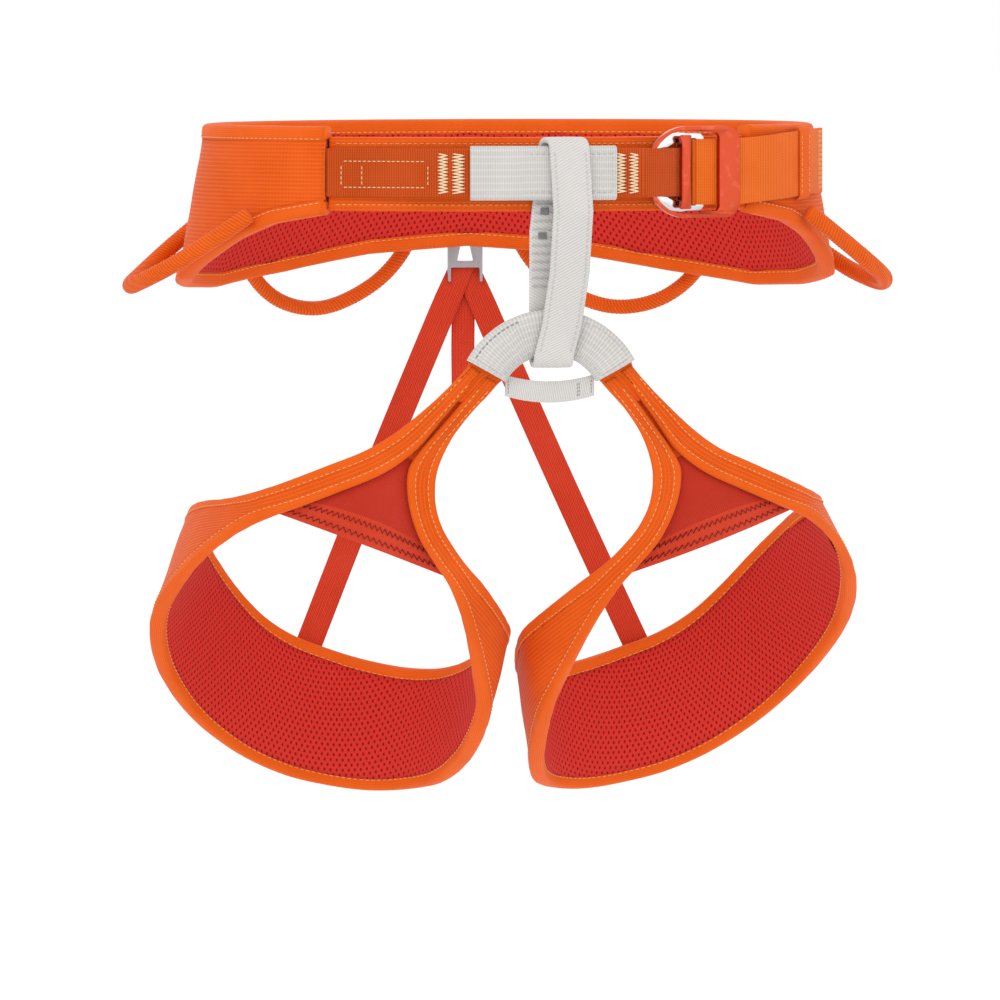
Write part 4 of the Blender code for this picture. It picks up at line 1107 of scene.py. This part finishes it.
def make_buckle_pieces():
    origin, along, normal = buckle_frame()

    def at(out):
        middle = origin + out * normal
        axes = Matrix(((along.x, 0, normal.x), (along.y, 0, normal.y), (0, 1, 0))).to_4x4()
        return Matrix.Translation((middle.x, middle.y, WEBBING_HEIGHT)) @ axes

    def d_outline(centre, radius, half_height, right, corner):
        return (arc((centre, 0), radius, 90, 270, 48)
                + arc((right - corner, corner - half_height), corner, 270, 360, 12)
                + arc((right - corner, half_height - corner), corner, 0, 90, 12))

    inner = FRAME_HALF_HEIGHT - FRAME_RIM
    outer = d_outline(FRAME_CENTRE, FRAME_HALF_HEIGHT, FRAME_HALF_HEIGHT, FRAME_RIGHT, 0.009)
    hole = d_outline(FRAME_CENTRE, FRAME_HALF_HEIGHT - LEFT_RIM, inner, WINDOW_RIGHT, 0.003)
    middle = (FRONT_BACK + FRONT_FACE) / 2
    plate("buckle_d_frame", (outer, hole), FRAME_PLATE, 0.00095, at(middle), "rose", "buckle_front",
          "buckle_front_frame")
    bar_half = inner - 0.0012
    bar = ((-0.0088, bar_half - 0.0012), (-0.0080, bar_half - 0.005),
           (-0.0080, 0.005 - bar_half), (-0.0088, 0.0012 - bar_half), (-0.0080, -bar_half),
           (-0.0020, -bar_half), (-0.0025, 0), (-0.0020, bar_half), (-0.0080, bar_half))
    plate("buckle_t_bar", (bar,), FRAME_PLATE, 0.0007, at(middle), "rose", "buckle_front",
          "buckle_centre_bar")

    tall = STRAP_WIDTH / 2 + 0.0005 + FRAME_RIM - 0.0008
    ring = arc((FRAME_CENTRE, 0), RING_OUTER, 90, 270, 48)
    ring += [(RIGHT_BAR[0] - 0.005, -tall), (RIGHT_BAR[1] - 0.002, -tall),
             (RIGHT_BAR[1], 0.002 - tall), (RIGHT_BAR[1], tall - 0.002),
             (RIGHT_BAR[1] - 0.002, tall), (RIGHT_BAR[0] - 0.005, tall)]
    reach = degrees(acos((FRAME_CENTRE - CENTRE_BAR[0]) / RING_INNER))
    left_hole = arc((FRAME_CENTRE, 0), RING_INNER, 180 - reach, 180 + reach, 30)
    window_half = STRAP_WIDTH / 2 + 0.0005
    turn_half = WEBBING_WIDTH / 2 + 0.001
    window = ((CENTRE_BAR[1], turn_half), (CENTRE_BAR[1], -turn_half), (CENTRE_BAR[1] + 0.003, -window_half),
              (RIGHT_BAR[0], -window_half), (RIGHT_BAR[0], window_half),
              (CENTRE_BAR[1] + 0.003, window_half))
    plate("buckle_silver_ring", (ring, left_hole, window), REAR_PLATE, 0.0008,
          at((REAR_BACK + REAR_FACE) / 2), "steel", BELT, "buckle_rear_frame")


# ---------------------------------------------------------------- belay loop and lower tie-in

def belay_path():
    mid_back = -(WAIST_HALF_DEPTH + BELAY_BACK + BELAY_THICKNESS / 2)
    mid_front = -(WAIST_HALF_DEPTH + BELAY_FRONT + BELAY_THICKNESS / 2)
    radius, centre = (mid_back - mid_front) / 2, (mid_back + mid_front) / 2
    high = BELAY_TOP - BELAY_THICKNESS / 2 - radius
    low = WEBBING_HEIGHT - BELAY_DROP + BELAY_THICKNESS / 2 + radius
    path = arc((centre, high), radius, 0, 180, 16)
    path += [(mid_front, z) for z in span(high, low, 40)[1:-1]]
    path += arc((centre, low), radius, 180, 360, 16)
    path += [(mid_back, z) for z in span(low, high, 40)[1:-1]]
    return path, centre, radius, low, high


def belay_at(y, z, x, up, facts):
    _, centre, radius, low, high = facts
    outward = Vector((0, y - centre, z - min(max(z, low), high))).normalized()
    rise = min(max((z - low) / (high - low), 0), 1)
    lean = belay_lean(rise, (centre + radius - y) / (2 * radius))
    crown = 0.0002 * (1 - (2 * x / BELAY_WIDTH) ** 2)
    return Vector((lean + x, y, z)) + outward * (BELAY_THICKNESS / 2 + up + crown)


def make_belay_pieces():
    facts = belay_path()
    path, centre, radius, low, high = facts
    half = BELAY_WIDTH / 2
    rows = [[belay_at(y, z, x, 0, facts) for x in span(-half, half, 8)] for y, z in path]
    sheet("belay_loop_webbing", rows, BELAY_THICKNESS, "belay", "belay_loop", "belay_loop", wrap_rows=True)
    front, back = centre - radius, centre + radius
    lines = []
    for x in (-half + 0.0024, half - 0.0024):
        lines += dashes(lambda z, up: belay_at(front, z, x, up, facts), high, low, pitch=0.0030, dash=0.0021)
    threads("belay_edge_stitch", lines, 0.0003, "pale", "belay_loop")

    def inside(z, x, up):
        """On the rear strand's inner face."""
        return belay_at(back, z, x, 0, facts) + Vector((0, -BELAY_THICKNESS - up, 0))

    top, step = -0.004, 0.0042
    lines, marks = [], []
    for z in span(top, top - 12 * step, 12):
        lines += zigzag(lambda x, s, up: inside(z + s, x, up), -half + 0.001, half - 0.001,
                        -0.0006, 0.0006, 12, 0.0001)
    threads("belay_ridge_tacks", lines, 0.0004, "pale", "belay_loop")
    for row in (2, 5):
        first = top - step * row - 0.0020
        for z in span(first, first - 0.0028, 4):
            marks += zigzag(lambda x, s, up: inside(z + s, x, up), -0.0062, -0.0018,
                            -0.0003, 0.0003, 5, 0.0003)
    threads("belay_grey_tacks", marks, 0.0004, "grey", "belay_loop")


def arch_swell(turn, across):
    """The sleeve's front rounds out where the belay loop doesn't press on it."""
    free = ramp(abs(turn), 21, 33)
    crease = 0.00025 * sin(turn * 0.9) * free
    return (0.0024 * free + crease) * max(0.0, 1 - (2 * across / ARCH_WIDTH) ** 2)


def make_lower_tie_in_pieces():
    section = full_ring(ARCH_WIDTH / 2, SLEEVE_DEPTH / 2)
    rows = [[arch_point(turn, across, out + arch_swell(turn, across) * (out > 0))
             for across, out in section] for turn in span(-ARCH_END, ARCH_END, 60)]
    sheet("lower_sleeve_cover", rows, SLEEVE_WALL, "arch", BELT, "lower_sleeve", wrap_columns=True)
    half = ARCH_WIDTH / 2 - SLEEVE_WALL - SLEEVE_ROOM
    rows = [[arch_point(turn, across, WEBBING / 2) for across in span(-half, half, 3)]
            for turn in span(-ARCH_END, ARCH_END, 40)]
    sheet("lower_webbing", rows, WEBBING, "webbing", BELT, "lower_tie_in_webbing")
    face = SLEEVE_DEPTH / 2
    edge = ARCH_WIDTH / 2 - 0.0030

    def on_arch(turn, across, up):
        return arch_point(turn, across, face + up + arch_swell(turn, across))

    end = ARCH_END - 2
    lines = dashes(lambda t, up: on_arch(t, edge, up), -end, -20, pitch=0.0028, dash=0.0020)
    threads("lower_sleeve_dark_stitch", lines, 0.00034, "grey", BELT)
    lines = []
    for across, start in ((edge, 21), (-edge, -end)):
        lines += dashes(lambda t, up: on_arch(t, across, up), start, end)
    for turn in (-ARCH_END + 3, ARCH_END - 3):
        lines += dashes(lambda s, up: on_arch(turn, s, up), -edge, edge, pitch=0.0024, dash=0.0017)
    threads("lower_sleeve_stitch", lines, 0.00028, "pale", BELT)


def make_bridge_pieces():
    back = LOOP_MIDDLE + SLEEVE_DEPTH / 2 + 0.0006

    def at(share, up):
        x = share * (ARCH_HALF_SPAN - 0.0105)
        middle = TIE_IN.z - 0.0075 - 0.0035 * (1 - share ** 2)
        return Vector((x, back, middle + up))

    rows = [[at(share, up) for up in span(BRIDGE_WIDTH / 2, -BRIDGE_WIDTH / 2, 3)]
            for share in span(1, -1, 50)]
    sheet("bridge_strap", rows, 0.0012, "bridge", BELT, "leg_bridge_strap")
    lines = []
    for share in (0.62, 0.66, 0.93, -0.93):
        lines += dashes(lambda s, up: at(share, s), -0.0045, 0.0045, pitch=0.0018, dash=0.0013)
    threads("bridge_stitch", lines, 0.00026, "grey", BELT)


# ---------------------------------------------------------------- leg loops

LAST = len(LEG_RIMS) - 1


def leg_ripple(at, share):
    return 0.0005 * noise.noise(Vector((at * 0.55, share * 2.2, 4.2))) * min(1, 6 * share * (1 - share))


def leg_in(rim, at, inward, depth):
    """By distance in from a rim, for tapes and seams."""
    share = inward / leg_width(at)
    return leg_point(at, share if rim == 0 else 1 - share, depth)


def leg_ring(at, edge, outer, inner, crown_out, crown_in):
    """Round a leg loop's section: its outer face, then its inner, crowned between the tapes."""
    ring = []
    for depth, crown, ends in ((outer, -crown_out, (edge, 1 - edge)), (inner, crown_in, (1 - edge, edge))):
        for s in span(*ends, 10):
            share = (s - edge) / (1 - 2 * edge)
            ring.append(leg_point(at, s, depth + crown * crowned(share) + leg_ripple(at, share)))
    return ring


def make_leg_shell(side, word, body):
    depth = OUTER_FABRIC + LOAD_WEBBING + GAP
    rings = []
    for at in span(0, LAST, 180):
        width = leg_width(at)
        edge = max(leg_binding_width(at) - 0.0012, 0.0008) / width
        rings.append(leg_ring(at, edge, 0, depth, 0.0004 * min(1, width / 0.03), 0))
    loft("leg_shell_" + word, rings, "fabric", body, "leg_fabric_" + word, "leg_webbing_" + word,
         caps=True, mirrored=side < 0)


def make_leg_pad(side, word, body):
    first = OUTER_FABRIC + LOAD_WEBBING + 2 * GAP
    full = LEG_FOAM + LINING + 2 * GAP
    rings = []
    for at in span(PAD_START + 1.2, PAD_END - 1.2, 130):
        edge = (leg_binding_width(at) - 0.0008) / leg_width(at)
        end = ramp(at, PAD_START + 1.2, PAD_START + 3) - ramp(at, PAD_END - 3, PAD_END - 1.2)
        rings.append(leg_ring(at, edge, first, first + full * (0.25 + 0.75 * end), 0, 0.0012 * end))
    pad = loft("leg_padding_" + word, rings, "mesh", body, "leg_lining_" + word, "leg_foam_" + word,
               caps=True, mirrored=side < 0)


def make_leg_edges(side, word, body):
    for rim, place in ((0, "upper"), (1, "lower")):
        rings = []
        for at in span(0, LAST, 200):
            width, back = leg_binding_width(at), leg_thickness(at)
            pucker = 0.00010 * cos(at * 9.0) + 0.00008 * cos(at * 23.0)
            rings.append([leg_in(rim, at, d, -out + pucker)
                          for d, out in folded_tape(width, -back, GAP, 0.0019)])
        loft("leg_edge_%s_%s" % (place, word), rings, "tape", body, "leg_binding_%s_%s" % (place, word),
             caps=True, mirrored=side < 0)
        lines = []
        for inner in (False, True):
            def seam(at, up, inner=inner):
                depth = leg_thickness(at) - 0.0001 + up if inner else -GAP - up + 0.0001
                return leg_in(rim, at, leg_binding_width(at) - SEAM_IN, depth)
            lines += dashes(seam, 0.6, LAST - 0.6, samples=400)
        threads("leg_seam_%s_%s" % (place, word), lines, 0.00033, "thread", body, mirrored=side < 0)


ARM_JOIN = 3.4


def make_stretch_pieces(side, word, body):
    depth = ARM_THICKNESS + 0.0016
    mirrored = side < 0
    # From the top to the bottom of each: the outer arm, the inner arm, the bow forward and up
    triangle = ((3.2, 6.02), (31.8, 28.18), (0.0, 0.012), (0.0, 0.0035))
    band = ((5.95, 6.85), (28.25, 27.0), (0.012, 0.0145), (0.0040, 0.0))

    def front(limits, down, s):
        outer_at, inner_at, belly, lift = (a + (b - a) * down for a, b in limits)
        hump = 4 * s * (1 - s)
        start, end = leg_point(outer_at, 0.72, depth), leg_point(inner_at, 0.72, depth)
        return start.lerp(end, s) + Vector((0, -belly * hump, lift * hump))

    for name, limits, steps, thickness, look, node in (
            ("stretch_triangle_", triangle, 24, 0.0007, "stretch", "stretch_panel_"),
            ("stretch_band_", band, 8, 0.0012, "elastic", "panel_elastic_")):
        rows = [[front(limits, down, s) for s in span(1, 0, 30)] for down in span(0, 1, steps)]
        sheet(name + word, rows, thickness, look, body, node + word, mirrored=mirrored)
    band_rows = rows

    def on_band(t, s, up):
        """Between the band's own points, so the stitches follow its facets."""
        i, j = min(int(s * 8), 7), min(int(t * 30), 29)
        upper, lower = (band_rows[k][j].lerp(band_rows[k][j + 1], t * 30 - j) for k in (i, i + 1))
        return upper.lerp(lower, s * 8 - i) + Vector((0, -up, 0))

    rows = []
    for down in span(0.15, 0.15 + ARM_JOIN, 30):
        outer, inner = (leg_point(at, 0.80, ARM_THICKNESS + 0.0004) for at in (down, LAST - down))
        rows.append([inner.lerp(outer, s) for s in span(0, 1, 5)])
    sheet("arm_join_" + word, rows, 0.0008, "fabric", body, mirrored=mirrored)

    lines = []
    for low, high in ((0.16, 0.34), (0.62, 0.80)):
        lines += zigzag(on_band, 0.03, 0.97, low, high, 26, 0.0002)
    threads("stretch_zigzag_" + word, lines, 0.0003, "dark", body, mirrored=mirrored)


def make_arm_root(side, word, body):
    """The fabric that leaves the lower sleeve and carries the leg loop's two arms."""
    rows = [[arch_point(ARCH_END - back, across, 0.0004) for across in span(-0.0098, 0.0098, 5)]
            for back in (5.0, 2.5, 0.0)]
    for run in (0.3, 0.6, 1.0, 1.5):
        inner, outer = leg_point(35 - 1.15 * run, 0.04, 0.0008), leg_point(run, 0.04, 0.0008)
        rows.append([inner.lerp(outer, s) for s in span(0, 1, 5)])
    start, end = rows[1][2].copy(), rows[-2][2].copy()
    start.x, end.x = side * start.x, side * end.x
    sheet("arm_root_" + word, rows, 0.0028, "fabric", (BELT, body, start, end), mirrored=side < 0)


# ---------------------------------------------------------------- rear hook and risers

def make_hook_pieces():
    back = WAIST_HALF_DEPTH + hook_out()
    middle = back + HOOK_PLATE / 2
    place = Matrix(((1, 0, 0, 0), (0, 0, -1, middle), (0, 1, 0, 0), (0, 0, 0, 1)))
    half, notch = HOOK_WIDTH / 2, RISER_WIDTH / 2 + 0.0006
    outline = ((-half, HOOK_FOOT), (-half, HOOK_TOP - 0.002), (0.002 - half, HOOK_TOP),
               (half - 0.002, HOOK_TOP), (half, HOOK_TOP - 0.002), (half, HOOK_FOOT),
               (notch, HOOK_FOOT), (notch, HOOK_BAR), (-notch, HOOK_BAR), (-notch, HOOK_FOOT))
    window = ((-0.0022, HOOK_TOP - 0.0035), (0.0022, HOOK_TOP - 0.0035),
              (0.0044, HOOK_BAR + 0.0036), (-0.0044, HOOK_BAR + 0.0036))
    plate("rear_hook_cast", (outline, window), HOOK_PLATE, 0.0006, place, "cast", BELT, "rear_hook")
    high = HOOK_TOP + 0.024
    high_y = WAIST_HALF_DEPTH + BINDING_FACE + flare(0, high) + 0.0030
    low_end, high_end = Vector((0, back + 0.0026, HOOK_TOP + 0.0004)), Vector((0, high_y, high))
    rows = [[low_end.lerp(high_end, t) + Vector((x, 0, 0)) for t in span(0, 1, 16)]
            for x in span(0.010, -0.010, 6)]
    sheet("hook_tab", rows, 0.0022, "webbing", BELT, "rear_hook_tab")
    lines = []
    for t in (0.15, 0.5, 0.85):
        lines += zigzag(lambda x, s, up: low_end.lerp(high_end, t + s * 30) + Vector((x, up, 0)),
                        -0.0085, 0.0085, -0.001, 0.001, 12, 0.0001)
    threads("hook_tab_stitch", lines, 0.0003, "thread", BELT)


def make_riser_pieces(side, word, body):
    layer = HOOK_PLATE + (0.0004 if side < 0 else 0.0020)
    start = Vector((0.0004, WAIST_HALF_DEPTH + hook_out() + layer, HOOK_BAR + 0.003))
    end = leg_point(RISER_AT, 0.03, -0.0034)
    down = (end - start).normalized()
    across = down.cross(Vector((0, 1, 0))).normalized() * RISER_WIDTH / 2
    rows = []
    for t in span(0, 1, 50):
        middle = start.lerp(end, t) + Vector((0, 0.006 * sin(pi * t), 0))
        widen = across.lerp(Vector((across.length, 0, 0)), (1 - ramp(t, 0, 0.12)))
        rows.append([middle + widen * s for s in span(-1, 1, 4)])
    sheet("riser_strap_" + word, rows, RISER, "elastic", (BELT, body, start, end), "riser_" + word,
          mirrored=side < 0)
    rows = []
    for at in span(RISER_AT - 0.42, RISER_AT + 0.42, 10):
        rows.append([leg_point(at, share, -0.0022) for share in span(0.26, 0.01, 10)])
    sheet("riser_sewn_patch_" + word, rows, 0.0015, "elastic", body, "riser_patch_" + word,
          mirrored=side < 0)
    lines = []
    for share in (0.05, 0.13, 0.21):
        lines += zigzag(lambda a, s, up: leg_point(a, share + s, -0.0022 - up),
                        RISER_AT - 0.36, RISER_AT + 0.36, -0.012, 0.012, 10, 0.0001)
    threads("riser_patch_stitch_" + word, lines, 0.0003, "dark", body, mirrored=side < 0)


def make_riser_tail_piece():
    y = WAIST_HALF_DEPTH + hook_out() + HOOK_PLATE + 0.0048
    half = 0.0062
    rows = [[Vector((x, y + 0.0004 * sin(k * 0.4), z)) for x in span(half, -half, 3)]
            for k, z in enumerate(span(HOOK_BAR + 0.003, HOOK_BAR - 0.067, 30))]
    sheet("riser_spare_end", rows, RISER, "elastic", BELT, "riser_tail")


# ---------------------------------------------------------------- gear loops

def make_gear_loop_piece(kind, word, knots, side, radius):
    ends = [waist_point(side * angle, z, BINDING_FACE + out - flare(angle, z)) for angle, out, z in knots]
    node = "gear_loop_%s_%s" % (kind, word)
    tube("gear_sheath_%s_%s" % (kind, word), smooth_path(ends, 32), radius, "sheath", node, node,
         sides=24, ripple=0.03, pitch=0.0022)


def make_patch_piece(place, word, angle, z, radius, side):
    wide = degrees((radius + 0.001) / WAIST_HALF_WIDTH)
    angle *= side
    rows = [[waist_point(turn, height, BINDING_FACE + 0.0018) for height in span(z + 0.020, z + 0.0055, 8)]
            for turn in span(angle - wide, angle + wide, 6)]
    name = "gear_loop_patch_%s_%s" % (place, word)
    sheet(name.replace("patch", "tab"), rows, 0.0014, "webbing", BELT, name)
    lines = []
    for up in (0.008, 0.0125, 0.017):
        lines += zigzag(lambda t, s, lift: waist_point(t, z + up + s, BINDING_FACE + 0.0018 + lift),
                        angle - 0.8 * wide, angle + 0.8 * wide, -0.0008, 0.0008, 7, 0.0001)
    threads(name.replace("patch", "stitch"), lines, 0.0003, "thread", BELT)


def make_all():
    make_belt_pieces()
    make_tongue_pieces()
    make_front_webbing()
    make_strap_pieces()
    make_upper_sleeve_pieces()
    make_buckle_pieces()
    make_belay_pieces()
    make_lower_tie_in_pieces()
    make_bridge_pieces()
    make_hook_pieces()
    make_riser_tail_piece()
    for side, word in ((-1, "left"), (1, "right")):
        body = "leg_loop_" + word
        make_leg_shell(side, word, body)
        make_leg_pad(side, word, body)
        make_leg_edges(side, word, body)
        make_stretch_pieces(side, word, body)
        make_arm_root(side, word, body)
        make_riser_pieces(side, word, body)
        make_gear_loop_piece("front", word, FRONT_LOOP, -side, FRONT_TUBE)
        make_gear_loop_piece("rear", word, REAR_LOOP, side, REAR_TUBE)
        for place, (angle, _, z) in (("inner", REAR_LOOP[0]), ("outer", REAR_LOOP[-1])):
            make_patch_piece(place, word, angle, z, REAR_TUBE, side)


make_all()
